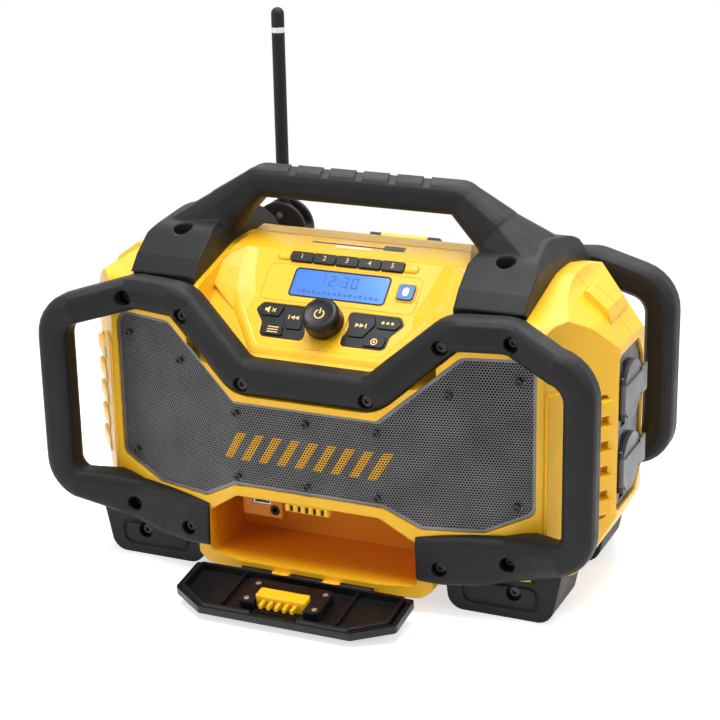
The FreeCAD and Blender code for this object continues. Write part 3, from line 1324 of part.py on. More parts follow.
def build():
    outer = body_form()
    grown = body_form(SEAT_GAP)
    shell = housing(outer)
    split = BODY_MID_Y
    pieces["housing_front"] = shell.common(box(-FAR, FAR, -FAR, split - SEAT_GAP / 2, -10, FAR))
    pieces["housing_rear"] = shell.common(box(-FAR, FAR, split + SEAT_GAP / 2, FAR, -10, FAR))
    pieces["grille"] = grille()
    pieces["front_guard"] = front_guard(grown)
    pieces["rear_guard_right"] = rear_guard(grown)
    pieces["rear_guard_left"] = mirror_x(pieces["rear_guard_right"])
    pieces["carry_handle"] = carry_handle(grown)
    right_foot = foot(grown)
    pieces["foot_front_right"] = right_foot.cut(foot_notch())
    pieces["foot_front_left"] = mirror_x(pieces["foot_front_right"])
    pieces["foot_rear_right"] = mirror_back(right_foot).cut(grown)
    pieces["foot_rear_left"] = mirror_x(pieces["foot_rear_right"])
    pieces["storage_door"] = storage_door()
    pieces["door_latch_cover"] = latch_cover()
    pieces["door_latch"] = door_latch()
    pieces["door_latch_screws"] = latch_screws()
    pieces["door_hinge_pin"] = door_pin()
    pieces["display_lens"] = display_lens()
    pieces["display_module"] = display_module()
    for i in range(PRESET_COUNT):
        pieces["preset_key_%d" % (i + 1)] = key(preset_outline(i))
    pieces["pairing_key"] = key(pair_outline())
    for name, outline in key_outlines().items():
        pieces[name] = key(outline, 1.0)
    pieces["keypad_right"] = keypad(1)
    pieces["keypad_left"] = keypad(-1)
    pieces["volume_knob"] = volume_knob()
    pieces["volume_encoder"] = encoder()
    pieces["aerial_base"] = aerial_base()
    pieces["aerial_pin"] = aerial_pin()
    pieces["aerial_whip"] = aerial_whip()
    pieces["aerial_ring"] = aerial_ring()
    pieces["aerial_cap"] = aerial_cap()
    pieces["battery_door"] = pack_door()
    pieces["battery_latch"] = pack_latch()
    pieces["battery_door_pin"] = rod_x(-49, 49, pack_hinge_y(), PACK_DOOR_LOW, PACK_PIN_R)
    pieces["battery_dock"] = battery_dock()
    pieces["outlet_panel"] = outlet_panel()
    pieces["outlet_cover_upper"] = outlet_cover(OUTLET_Z[0])
    pieces["outlet_cover_lower"] = outlet_cover(OUTLET_Z[1])
    pieces["outlet_cover_pins"] = outlet_pins()
    pieces["outlet_socket_upper"] = outlet_socket(OUTLET_Z[0])
    pieces["outlet_socket_lower"] = outlet_socket(OUTLET_Z[1])
    pieces["speaker_right"] = speaker(1)
    pieces["speaker_left"] = speaker(-1)
    pieces["main_board"] = main_board()
    pieces["charger_module"] = charger_module()
    pieces["usb_socket"] = usb_socket()
    pieces["aux_socket"] = aux_socket()
    pieces["mains_inlet"] = mains_inlet()
    guard = []
    for x, z, proud in GUARD_SCREWS:
        guard += both_sides(screw(x, guard_screw_y(x, proud), z, length=guard_screw_reach(x, proud)))
    pieces["guard_screws"] = Part.makeCompound(guard + rear_screws())
    pieces["grille_screws"] = grille_screws()
    front_feet = both_sides(foot_screw())
    pieces["foot_screws"] = Part.makeCompound(front_feet + [mirror_back(s) for s in front_feet])
    pieces["handle_screws"] = Part.makeCompound([handle_screw(x, y) for x, y in handle_screw_places()])


def export():
    """Put the origin under the middle of the radio with its door open, and write each piece."""
    front = pieces["storage_door"].optimalBoundingBox(False).YMin
    back = pieces["rear_guard_right"].optimalBoundingBox(False).YMax
    os.makedirs("parts", exist_ok=True)
    for name, shape in pieces.items():
        shape.translate(V(0, -(front + back) / 2, 0))
        shape.exportStep("parts/%s.step" % name)


build()
export()
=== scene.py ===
import json
import math

import bmesh
import bpy
from mathutils import Matrix, Vector


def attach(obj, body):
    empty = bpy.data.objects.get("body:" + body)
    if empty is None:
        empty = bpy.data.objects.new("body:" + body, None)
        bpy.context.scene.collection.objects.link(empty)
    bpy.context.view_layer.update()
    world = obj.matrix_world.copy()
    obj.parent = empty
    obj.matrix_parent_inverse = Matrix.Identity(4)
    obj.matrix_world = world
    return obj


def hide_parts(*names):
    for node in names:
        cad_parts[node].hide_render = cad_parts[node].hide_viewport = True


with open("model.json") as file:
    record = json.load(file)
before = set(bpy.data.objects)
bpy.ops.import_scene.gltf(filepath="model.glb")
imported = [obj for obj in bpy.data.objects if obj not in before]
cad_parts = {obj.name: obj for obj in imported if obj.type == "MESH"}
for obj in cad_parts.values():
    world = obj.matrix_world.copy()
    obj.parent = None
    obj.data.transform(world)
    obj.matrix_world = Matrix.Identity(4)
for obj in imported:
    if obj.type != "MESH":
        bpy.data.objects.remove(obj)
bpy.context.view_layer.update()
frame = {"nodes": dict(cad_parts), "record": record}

MM = 0.001

# The camera, as fitted to the photograph; its place is in millimetres from the standing plane
IMAGE_WIDTH = 720.0
FOCAL_PIXELS = 1997.0
CAMERA_AZIMUTH = math.radians(24.14)
CAMERA_ELEVATION = math.radians(19.5)
CAMERA_ROLL = math.radians(-1.18)
CAMERA_PLACE = (564.2, -1177.4, 637.2)
SENSOR = 36.0

# Sizes shared with the part's source, in millimetres
HINGE_Y = -19.5
PANEL_TILT = math.radians(42.3)
PANEL_Y = 2.0
PANEL_Z = 172.0
FOLD_X = 54.0
FOLD_SLOPE = math.tan(math.radians(13.06))
GRILLE_Y = -14.0
GRILLE_THICK = 1.5
KNOB_V = 31.5
KNOB_FACE = 17.5
KEY_RAISE = 2.0
PRESET_PITCH = 17.6
PRESET_V = 83.6
LENS_X = 37.0
LENS_LOW = 52.0
LENS_HIGH = 75.0
PANEL_LENGTH = 89.0
DECK_TILT = math.radians(17.9)
FACE_X = 166.0
FACE_Y = 10.0
SIDE_X = 204.0
SIDE_Y = 57.0
RIB_COUNT = 5
RIB_PITCH = 18.3
RIB_TOP_Z = 150.0
STRIKE_FRONT = -15.3
STRIKE_PITCH = 6.0

# Where painted shade turns the shell orange inside the cable bin, at its front, top, sides and back:
# outer and inner limit
BIN_FRONT_FADE = (-12.0, 2.0)
BIN_TOP_FADE = (74.0, 70.0)
BIN_SIDE_FADE = (85.0, 81.0)
BIN_BACK_FADE = (49.0, 47.0)

# Outline of the grille's right half, from top to bottom: across, up and corner radius
GRILLE_CORNERS = [(55, 143, 6), (112, 192, 10), (161, 192, 12), (161, 80, 8), (126, 64, 8),
                  (84, 64, 6), (57, 79, 6)]

# Screws of the grille: across and up, and the head's radius and height before the sheet
SCREW_PLACES = [(s * x, z) for x, z in ((150, 176), (103, 164), (54, 134), (149, 85), (54, 86))
                for s in (1, -1)] + [(0, 133), (0, 86)]
GRILLE_SCREW_R = 2.6
GRILLE_SCREW_PROUD = 2.2

# Screws of the roll bar: across, up, and how far the head stands before the folded front
GUARD_SCREWS = ((47.6, 157.0, 1.0), (98.2, 198.5, 1.0), (147.0, 205.3, 4.9), (146.0, 46.5, 5.3),
                (98.0, 37.5, 3.7))
SCREW_HEAD_R = 4.2

# Screw of each front foot: place of the middle of its head
FOOT_SCREW_X = 146.0
FOOT_SCREW_Y = 11.0
FOOT_SCREW_Z = 19.0

# Form of every screw's face: points round it, depth of the recess and rise of the dome
SCREW_POINTS = 36
SCREW_DEPTH = 0.9
SCREW_DOME = 0.35

# Grille perforation, the unpierced edge round it and the cloth behind it. Neighbouring cells share
# their corners, matched in WELD_STEPS steps to the millimetre
HOLE_PITCH = 2.15
HOLE_R = 0.93
SHEET_HALF = 170.0
SHEET_LOW = 60.0
SHEET_HEIGHT = 140.0
SHEET_THICK = 0.7
SCREW_CLEAR = 2.4
WELD_STEPS = 50
BORDER = 1.3
BORDER_PROUD = 0.06
BORDER_THICK = 1.0
CLOTH_INSET = 0.5
CLOTH_GAP = 0.15
CLOTH_THICK = 0.1

# Plain slanted stripes on the grille
STRIPE_X = 59.5
STRIPE_Z = 109.0
STRIPE_HALF = 10.5
STRIPE_PITCH = 14.0
STRIPE_LEAN = 0.6

# Pictures on the keys: where each stands on the panel, and the heights that they span over it
MUTE_MARK = (-46.0, 38.1)
MENU_MARK = (-38.8, 22.7)
SKIP_MARK = (26.6, 34.0)
MODE_MARK = (45.1, 38.1)
ENTER_MARK = (39.2, 22.6)
PAIRING_MARK = (51.0, 64.0)
MARK_LOW = 0.98
MARK_HIGH = 1.1
CROSS_STEP = 0.01
PRESET_SIZE = 5.6
PRESET_RAISE = 0.06

# Power sign on the knob, whose top is dished
POWER_R = 3.4
POWER_STROKE = 0.95
POWER_GAP = math.radians(32)
DISH_DEPTH = 1.0
DISH_SPREAD = 120.0

# Digits of the display, and the segments that each one lights
TIME_DIGITS = (("1", -17.0), ("2", -9.5), ("3", 0.5), ("0", 8.0))
COLON_X = -2.0
COLON_HEIGHTS = (65.2, 68.4)
DIGIT_LOW = 62.5
DIGIT_WIDTH = 5.2
DIGIT_HEIGHT = 9.0
DIGIT_STROKE = 1.35
DIGIT_GAP = 0.18
DIGIT_RAISE = 0.05
SEGMENTS = {"0": "abcdef", "1": "bc", "2": "abged", "3": "abgcd"}
METER_BARS = 16
METER_X = -30.0
METER_LOW = 55.4
METER_PITCH = 4.0
FRAME_OUT = 0.3
FRAME_WIDTH = 1.1

# Moulded ends of the row of preset keys
PILL_NEAR = 44.8
PILL_FAR = 55.0
PILL_HALF = 3.6
PILL_R = 3.4

# Thickness of the thin moulded forms round the panel
MOULDING_THICK = 0.4

# Details on the deck: name, span across and up the slope, height and material
DECK_DETAILS = (
    ("deck_slot", (-35, 22, 12.2, 13.6), 0.06, "black"),
    ("deck_plate", (21, 37, 11.4, 16.4), 0.35, "plate"),
    ("deck_strip", (-15, 13, 8.4, 11.2), 0.3, "clear"),
)

# Ribs on the front corners and the pad beside them, along the corner's face from its middle
RIB_FROM = -9.0
RIB_TO = 25.5
RIB_HALF = 5.8
RIB_PROUD = 3.4
PAD_CORNERS = (-29.0, -7.5, 62.0, 168.0)
PAD_PROUD = 2.3

# Ribs and slots of the catch over the cable bin
STRIKE_RIBS = 6
STRIKE_LOW = 65.6
STRIKE_HIGH = 71.3
STRIKE_SLOT_Z = 68.2

# Colours, and the finish of every yellow piece
YELLOW = (0.93, 0.51, 0.012)
# Deeper orange of the painted shade inside the cable bin
BIN_SHADE_ORANGE = (0.80, 0.28, 0.008)
STRIPE_YELLOW = (0.88, 0.46, 0.03)
GRILLE_DARK = (0.13, 0.13, 0.133)
GRILLE_LIGHT = (0.19, 0.19, 0.194)
DISPLAY_LEFT = (0.045, 0.17, 0.56)
DISPLAY_RIGHT = (0.065, 0.23, 0.68)
DISPLAY_GLOW = 0.2
# edge and lift set how much lighter the edges are painted: partly wear, partly painted highlight
YELLOW_FINISH = {"roughness": 0.32, "grain": 0.10, "grain_size": 0.7, "edge": 0.25, "radius": 1.6,
                 "tone": 0.03, "specular": 0.45, "lift": (1.05, 1.15, 2.0)}

# Scales of the noise behind tone, edge wear with painted highlight, and gloss, and the depth of the
# grain
TONE_SCALE = 18.0
WEAR_AND_HIGHLIGHT_SCALE = 220.0
GLOSS_SCALE = 60.0
GRAIN_DEPTH = 0.12

# Light: level of the world, glow of the floor in view, where it fades to plain white, and the lamps
AMBIENT = 0.34
FLOOR_LIFT = 0.62
FLOOR_FADE = (0.32, 0.75)
FLOOR_SIZE = 6.0
FLOOR_DROP = 0.0005
LAMPS = (
    ("top", (0.1, -0.15, 1.6), (0, 0, 0.15), (1.3, 0.9), 27.0),
    ("front_left", (-1.4, -1.6, 0.9), (0, 0, 0.12), (0.9, 1.1), 10.0),
    ("right", (1.7, -0.6, 1.2), (0, 0, 0.12), (0.7, 1.0), 7.0),
    ("back_top", (-0.1, 1.1, 1.5), (0, 0, 0.2), (1.8, 0.9), 13.0),
)


def joint_place(name):
    """Place of a joint in the frame, in metres."""
    for joint in frame["record"]["behaviour"]["joints"]:
        if joint["name"] == name:
            return joint["pos_m"]
    raise KeyError(name)


# The part's source draws Y from near the grille, and the frame has it from the middle
SHIFT = joint_place("storage_door_hinge")[1] / MM - HINGE_Y


def at(x, y, z):
    """Point of the part's drawing, in millimetres, as a place in the frame."""
    return Vector((x * MM, (y + SHIFT) * MM, z * MM))


def on_panel(u, v, w=0.0):
    """Point of the control panel: across, up the slope and outwards."""
    y = PANEL_Y + v * math.cos(PANEL_TILT) - w * math.sin(PANEL_TILT)
    z = PANEL_Z + v * math.sin(PANEL_TILT) + w * math.cos(PANEL_TILT)
    return at(u, y, z)


def front_y(x):
    """Y of the folded front at a distance from the middle."""
    return GRILLE_Y + FOLD_SLOPE * max(0.0, abs(x) - FOLD_X)


class Nodes:
    """Short way to build a node material."""

    def __init__(self, name):
        self.material = bpy.data.materials.new(name)
        self.material.use_nodes = True
        self.tree = self.material.node_tree
        self.shader = self.tree.nodes["Principled BSDF"]
        coords = self.add("ShaderNodeTexCoord")
        self.place = coords.outputs["Object"]

    def add(self, kind, **settings):
        node = self.tree.nodes.new(kind)
        for key, value in settings.items():
            setattr(node, key, value)
        return node

    def link(self, out, into):
        self.tree.links.new(out, into)

    def noise(self, scale, detail=3.0, rough=0.5):
        node = self.add("ShaderNodeTexNoise")
        node.inputs["Scale"].default_value = scale
        node.inputs["Detail"].default_value = detail
        node.inputs["Roughness"].default_value = rough
        self.link(self.place, node.inputs["Vector"])
        return node.outputs["Fac"]

    def cells(self, scale):
        node = self.add("ShaderNodeTexVoronoi")
        node.inputs["Scale"].default_value = scale
        self.link(self.place, node.inputs["Vector"])
        return node.outputs["Distance"]

    def span(self, value, low, high, to_low=0.0, to_high=1.0):
        node = self.add("ShaderNodeMapRange")
        node.inputs["From Min"].default_value = low
        node.inputs["From Max"].default_value = high
        node.inputs["To Min"].default_value = to_low
        node.inputs["To Max"].default_value = to_high
        self.link(value, node.inputs["Value"])
        return node.outputs["Result"]

    def mix(self, factor, first, second):
        """Mix of two colours; a Mix node has its colour sockets at 6 and 7, and that output at 2."""
        node = self.add("ShaderNodeMix", data_type="RGBA")
        self.link(factor, node.inputs["Factor"])
        for socket, value in ((node.inputs[6], first), (node.inputs[7], second)):
            if isinstance(value, tuple):
                socket.default_value = value + (1.0,)
            else:
                self.link(value, socket)
        return node.outputs[2]

    def math(self, operation, first, second=0.0):
        node = self.add("ShaderNodeMath", operation=operation)
        for socket, value in ((node.inputs[0], first), (node.inputs[1], second)):
            if isinstance(value, (int, float)):
                socket.default_value = value
            else:
                self.link(value, socket)
        return node.outputs[0]

    def bevelled(self, radius):
        node = self.add("ShaderNodeBevel", samples=4)
        node.inputs["Radius"].default_value = radius
        return node.outputs["Normal"]

    def edge_mask(self, soft):
        """High where the rounded normal leaves the face's own normal: along the edges."""
        geometry = self.add("ShaderNodeNewGeometry")
        dot = self.add("ShaderNodeVectorMath", operation="DOT_PRODUCT")
        self.link(soft, dot.inputs[0])
        self.link(geometry.outputs["Normal"], dot.inputs[1])
        return self.span(dot.outputs["Value"], 1.0, 0.86)

    def bump(self, height, strength, distance, normal=None):
        node = self.add("ShaderNodeBump")
        node.inputs["Strength"].default_value = strength
        node.inputs["Distance"].default_value = distance
        self.link(height, node.inputs["Height"])
        if normal is not None:
            self.link(normal, node.inputs["Normal"])
        return node.outputs["Normal"]


def moulded_nodes(name, colour, roughness=0.42, grain=0.10, grain_size=0.5, edge=0.35, radius=1.2,
                  tone=0.10, specular=0.5, lift=(1.25, 1.25, 1.25)):
    """Moulded plastic or rubber with fine grain, soft edges, and edges painted lighter as slight wear
    and a painted highlight.
    """
    n = Nodes(name)
    soft = n.bevelled(radius * MM)
    wear_and_highlight_edges = n.edge_mask(soft)
    patch = n.span(n.noise(TONE_SCALE, 4.0), 0.35, 0.65)
    dark = tuple(c * (1.0 - tone) for c in colour)
    light = tuple(min(1.0, c * (1.0 + tone)) for c in colour)
    base = n.mix(patch, dark, light)
    # Edges painted lighter and mottled: partly wear, partly a painted highlight along every edge
    worn_and_highlit = tuple(min(1.0, c * by + 0.01) for c, by in zip(colour, lift))
    wear_and_highlight = n.math("MULTIPLY", wear_and_highlight_edges, n.span(n.noise(WEAR_AND_HIGHLIGHT_SCALE, 4.0, 0.6), 0.35, 0.7, 0.15, edge * 2))
    n.link(n.mix(n.math("MINIMUM", wear_and_highlight, 1.0), base, worn_and_highlit), n.shader.inputs["Base Color"])
    gloss = n.span(n.noise(GLOSS_SCALE, 4.0), 0.3, 0.7, roughness - 0.06, roughness + 0.08)
    n.link(gloss, n.shader.inputs["Roughness"])
    n.shader.inputs["Specular IOR Level"].default_value = specular
    texture = n.cells(1.0 / (grain_size * MM))
    n.link(n.bump(texture, grain, GRAIN_DEPTH * MM, soft), n.shader.inputs["Normal"])
    return n


def moulded(name, colour, **finish):
    """Moulded material, where nothing more is added to its nodes."""
    return moulded_nodes(name, colour, **finish).material


def plain_metal(name, colour, roughness, radius=0.4):
    """Turned or plated metal with a fine mottle in tone and gloss."""
    n = Nodes(name)
    soft = n.bevelled(radius * MM)
    n.shader.inputs["Metallic"].default_value = 1.0
    patch = n.noise(900.0, 3.0)
    base = n.mix(patch, tuple(c * 0.85 for c in colour), colour)
    n.link(base, n.shader.inputs["Base Color"])
    n.link(n.span(patch, 0.3, 0.7, roughness - 0.05, roughness + 0.1), n.shader.inputs["Roughness"])
    n.link(n.bump(patch, 0.08, 0.05 * MM, soft), n.shader.inputs["Normal"])
    return n.material


def grille_paint():
    """Dark painted steel with a plain slanted stripe pattern in yellow across the middle."""
    n = Nodes("grille_paint")
    soft = n.bevelled(0.15 * MM)
    split = n.add("ShaderNodeSeparateXYZ")
    n.link(n.place, split.inputs[0])
    x, z = split.outputs["X"], split.outputs["Z"]
    lean = n.math("ADD", x, n.math("MULTIPLY", n.math("SUBTRACT", z, STRIPE_Z * MM), -STRIPE_LEAN))
    wave = n.math("FRACT", n.math("DIVIDE", n.math("ADD", lean, STRIPE_X * MM), STRIPE_PITCH * MM))
    stripe = n.math("LESS_THAN", wave, 0.5)
    inside = n.math("LESS_THAN", n.math("ABSOLUTE", lean), STRIPE_X * MM)
    band = n.math("LESS_THAN", n.math("ABSOLUTE", n.math("SUBTRACT", z, STRIPE_Z * MM)),
                  STRIPE_HALF * MM)
    mask = n.math("MULTIPLY", n.math("MULTIPLY", stripe, inside), band)
    patch = n.span(n.noise(40.0, 4.0), 0.3, 0.7)
    paint = n.mix(patch, GRILLE_DARK, GRILLE_LIGHT)
    n.link(n.mix(mask, paint, STRIPE_YELLOW), n.shader.inputs["Base Color"])
    n.link(n.math("MULTIPLY", n.math("SUBTRACT", 1.0, mask), 0.55), n.shader.inputs["Metallic"])
    n.shader.inputs["Roughness"].default_value = 0.38
    n.link(n.bump(n.noise(2500.0, 2.0), 0.08, 0.05 * MM, soft), n.shader.inputs["Normal"])
    return n.material


def display_glass():
    """Blue display, brighter to its right, with a faint glow of its own."""
    n = Nodes("display_glass")
    split = n.add("ShaderNodeSeparateXYZ")
    n.link(n.place, split.inputs[0])
    glow = n.span(split.outputs["X"], -LENS_X * MM, LENS_X * MM)
    base = n.mix(glow, DISPLAY_LEFT, DISPLAY_RIGHT)
    n.link(base, n.shader.inputs["Base Color"])
    n.link(base, n.shader.inputs["Emission Color"])
    n.shader.inputs["Emission Strength"].default_value = DISPLAY_GLOW
    n.link(n.span(n.noise(30.0, 2.0), 0.3, 0.7, 0.10, 0.16), n.shader.inputs["Roughness"])
    return n.material


def shell_paint():
    """Yellow shell with painted shade, deeper orange, inside the cable bin."""
    n = moulded_nodes("yellow_shell", YELLOW, **YELLOW_FINISH)
    outside = n.shader.inputs["Base Color"].links[0].from_socket
    split = n.add("ShaderNodeSeparateXYZ")
    n.link(n.place, split.inputs[0])
    front = n.span(split.outputs["Y"], *(at(0, y, 0).y for y in BIN_FRONT_FADE))
    low = n.span(split.outputs["Z"], *(z * MM for z in BIN_TOP_FADE))
    near = n.span(n.math("ABSOLUTE", split.outputs["X"]), *(x * MM for x in BIN_SIDE_FADE))
    behind = n.span(split.outputs["Y"], *(at(0, y, 0).y for y in BIN_BACK_FADE))
    # Painted shade: mask of the cable bin's recess, where the shell is coloured deeper orange
    inner = n.math("MULTIPLY", n.math("MULTIPLY", front, low), n.math("MULTIPLY", near, behind))
    n.link(n.mix(inner, outside, BIN_SHADE_ORANGE), n.shader.inputs["Base Color"])
    return n.material


MATERIALS = {
    "shell": shell_paint(),
    "yellow": moulded("yellow_parts", YELLOW, **YELLOW_FINISH),
    "rubber": moulded("black_rubber", (0.0095, 0.0095, 0.010), roughness=0.47, grain=0.20,
                      grain_size=0.45, edge=0.3, radius=2.6, tone=0.12, specular=0.23,
                      lift=(1.8, 1.8, 1.8)),
    "black": moulded("black_plastic", (0.007, 0.007, 0.0075), roughness=0.30, grain=0.12,
                     grain_size=0.4, edge=0.4, radius=0.7, tone=0.10, specular=0.3,
                     lift=(2.0, 2.0, 2.0)),
    "plate": moulded("outlet_black", (0.012, 0.012, 0.0125), roughness=0.34, grain=0.10,
                     grain_size=0.5, edge=0.3, radius=0.8, tone=0.08, specular=0.45),
    "grey": moulded("grey_plastic", (0.055, 0.055, 0.057), roughness=0.36, grain=0.10,
                    grain_size=0.5, edge=0.3, radius=0.8, tone=0.08, specular=0.7),
    "pairing": moulded("pairing_blue", (0.03, 0.16, 0.42), roughness=0.3, grain=0.08,
                       grain_size=0.4, edge=0.4, radius=0.8, tone=0.08),
    "mark": moulded("key_mark", (0.86, 0.62, 0.22), roughness=0.5, grain=0.05,
                    grain_size=0.4, edge=0.1, radius=0.1, tone=0.05),
    # Dark orange-brown: painted shade inside the slots of the catch
    "slot": moulded("slot_shade_paint", (0.05, 0.016, 0.002), roughness=0.6, grain=0.05,
                    grain_size=0.4, edge=0.0, radius=0.1, tone=0.1, specular=0.1),
    "white_mark": moulded("white_mark", (0.80, 0.80, 0.78), roughness=0.5, grain=0.05,
                          grain_size=0.4, edge=0.1, radius=0.1, tone=0.03),
    "clear": moulded("clear_strip", (0.90, 0.78, 0.50), roughness=0.2, grain=0.03,
                     grain_size=0.4, edge=0.1, radius=0.3, tone=0.03),
    "digit": moulded("display_digit", (0.02, 0.09, 0.36), roughness=0.4, grain=0.02,
                     grain_size=0.4, edge=0.0, radius=0.1, tone=0.02),
    "screw": plain_metal("screw_black", (0.05, 0.05, 0.052), 0.30),
    "steel": plain_metal("bright_steel", (0.80, 0.80, 0.80), 0.32),
    "grille": grille_paint(),
    "cloth": moulded("grille_cloth", (0.004, 0.004, 0.004), roughness=0.9, grain=0.1,
                     grain_size=0.5, edge=0.0, radius=0.1, tone=0.2, specular=0.1),
    "display": display_glass(),
    "board": moulded("board_green", (0.03, 0.16, 0.06), roughness=0.4, grain=0.05,
                     grain_size=0.5, edge=0.2, radius=0.3, tone=0.1),
}

NODE_MATERIAL = {
    "shell": ["housing_front", "housing_rear"],
    "yellow": ["door_latch", "battery_latch"],
    "rubber": ["front_guard", "rear_guard_left", "rear_guard_right", "carry_handle",
               "foot_front_left", "foot_front_right", "foot_rear_left", "foot_rear_right",
               "aerial_base", "aerial_whip", "aerial_cap", "volume_knob"],
    "black": ["storage_door", "door_latch_cover", "keypad_left", "keypad_right", "battery_door",
              "battery_dock", "outlet_socket_upper", "outlet_socket_lower", "mains_inlet",
              "aux_socket", "speaker_left", "speaker_right", "display_module",
              "charger_module"],
    "plate": ["outlet_panel"],
    "grey": ["outlet_cover_upper", "outlet_cover_lower"],
    "pairing": ["pairing_key"],
    "display": ["display_lens"],
    "screw": ["guard_screws", "grille_screws", "foot_screws", "handle_screws"],
    "steel": ["aerial_ring", "aerial_pin", "door_hinge_pin", "battery_door_pin",
              "outlet_cover_pins", "door_latch_screws", "usb_socket", "volume_encoder"],
    "board": ["main_board"],
    "grille": ["grille"],
}


def dress(node, material):
    """Give a CAD node its material."""
    obj = frame["nodes"][node]
    for slot in obj.material_slots:
        slot.material = material
    if not obj.material_slots:
        obj.data.materials.append(material)


def dress_nodes():
    """Materials for all CAD nodes; a node without an entry is black plastic."""
    left = set(frame["nodes"])
    for key, names in NODE_MATERIAL.items():
        for name in names:
            dress(name, MATERIALS[key])
            left.discard(name)
    for name in left:
        dress(name, MATERIALS["black"])


def piece(name, body, material, bm):
    """New object from a bmesh, riding on a body."""
    bmesh.ops.recalc_face_normals(bm, faces=bm.faces)
    mesh = bpy.data.meshes.new(name)
    bm.to_mesh(mesh)
    bm.free()
    obj = bpy.data.objects.new(name, mesh)
    bpy.context.scene.collection.objects.link(obj)
    mesh.materials.append(material)
    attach(obj, body)
    return obj


def thicken(obj, thickness):
    """Give an open surface a thickness, inwards from its face."""
    solid = obj.modifiers.new("thickness", "SOLIDIFY")
    solid.thickness = thickness * MM
    solid.offset = -1.0


def skin(bm, rows):
    """Faces between closed rows of vertices, from each row to the next."""
    for lower, upper in zip(rows, rows[1:]):
        for i in range(len(lower)):
            bm.faces.new((lower[i - 1], lower[i], upper[i], upper[i - 1]))


def rounded(corners, steps=6):
    """Points round a closed outline of (a, b, radius) corners."""
    points = []
    count = len(corners)
    for i, (a, b, radius) in enumerate(corners):
        last = corners[i - 1]
        coming = corners[(i + 1) % count]
        before = Vector((a - last[0], b - last[1])).normalized()
        after = Vector((coming[0] - a, coming[1] - b)).normalized()
        turn = math.atan2(before.x * after.y - before.y * after.x, before.dot(after))
        if not radius or abs(turn) < 1e-6:
            points.append((a, b))
            continue
        side = math.copysign(1.0, turn)
        start = Vector((a, b)) - before * radius * math.tan(abs(turn) / 2)
        centre = start + Vector((-before.y, before.x)) * side * radius
        spoke = start - centre
        for step in range(steps + 1):
            angle = turn * step / steps
            points.append((centre.x + spoke.x * math.cos(angle) - spoke.y * math.sin(angle),
                           centre.y + spoke.x * math.sin(angle) + spoke.y * math.cos(angle)))
    return points


def both_halves(corners):
    """Closed outline from the corners of its right half, top to bottom."""
    return corners + [(-a, b, radius) for a, b, radius in reversed(corners)]


def box_corners(a0, a1, b0, b1, radius):
    """Corners of an upright box outline, from its limits."""
    return [(a0, b0, radius), (a1, b0, radius), (a1, b1, radius), (a0, b1, radius)]


def box_round(middle, half_a, half_b, radius):
    """Corners of an upright box outline, from its middle."""
    a, b = middle
    return box_corners(a - half_a, a + half_a, b - half_b, b + half_b, radius)


def inset(points, distance):
    """Outline moved inwards; the points run clockwise or anticlockwise."""
    count = len(points)
    area = 0.0
    for i in range(count):
        area += points[i - 1][0] * points[i][1] - points[i][0] * points[i - 1][1]
    side = math.copysign(1.0, area)
    moved = []
    for i, (a, b) in enumerate(points):
        last = points[i - 1]
        coming = points[(i + 1) % count]
        before = Vector((a - last[0], b - last[1])).normalized()
        after = Vector((coming[0] - a, coming[1] - b)).normalized()
        normal = Vector((-before.y - after.y, before.x + after.x)).normalized() * side
        stretch = 1.0 / max(0.5, abs(normal.dot(Vector((-after.y, after.x)))))
        moved.append((a + normal.x * distance * stretch, b + normal.y * distance * stretch))
    return moved


GRILLE_POINTS = rounded(both_halves(GRILLE_CORNERS))


def grille_inset(x, z):
    """Distance inside the grille's outline, negative outside."""
    inside = False
    nearest = 1e9
    for i in range(len(GRILLE_POINTS)):
        x0, z0 = GRILLE_POINTS[i - 1]
        x1, z1 = GRILLE_POINTS[i]
        if (z0 > z) != (z1 > z) and x < (x1 - x0) * (z - z0) / (z1 - z0) + x0:
            inside = not inside
        dx, dz = x1 - x0, z1 - z0
        t = max(0.0, min(1.0, ((x - x0) * dx + (z - z0) * dz) / (dx * dx + dz * dz)))
        nearest = min(nearest, math.hypot(x - x0 - t * dx, z - z0 - t * dz))
    return nearest if inside else -nearest


def unfold(u):
    """X of a point at a given length along the folded sheet."""
    if abs(u) <= FOLD_X:
        return u
    extra = (abs(u) - FOLD_X) / math.hypot(1.0, FOLD_SLOPE)
    return math.copysign(FOLD_X + extra, u)


def hexagon(radius):
    """Corners of a six-sided outline about the origin."""
    return [(radius * math.sin(k * math.pi / 3), radius * math.cos(k * math.pi / 3)) for k in range(6)]


def near_grille_screw(x, z):
    """Whether a cell of the sheet lies under a screw's head, and so stays unpierced."""
    return any(math.hypot(x - sx, z - sz) < SCREW_CLEAR for sx, sz in SCREW_PLACES)


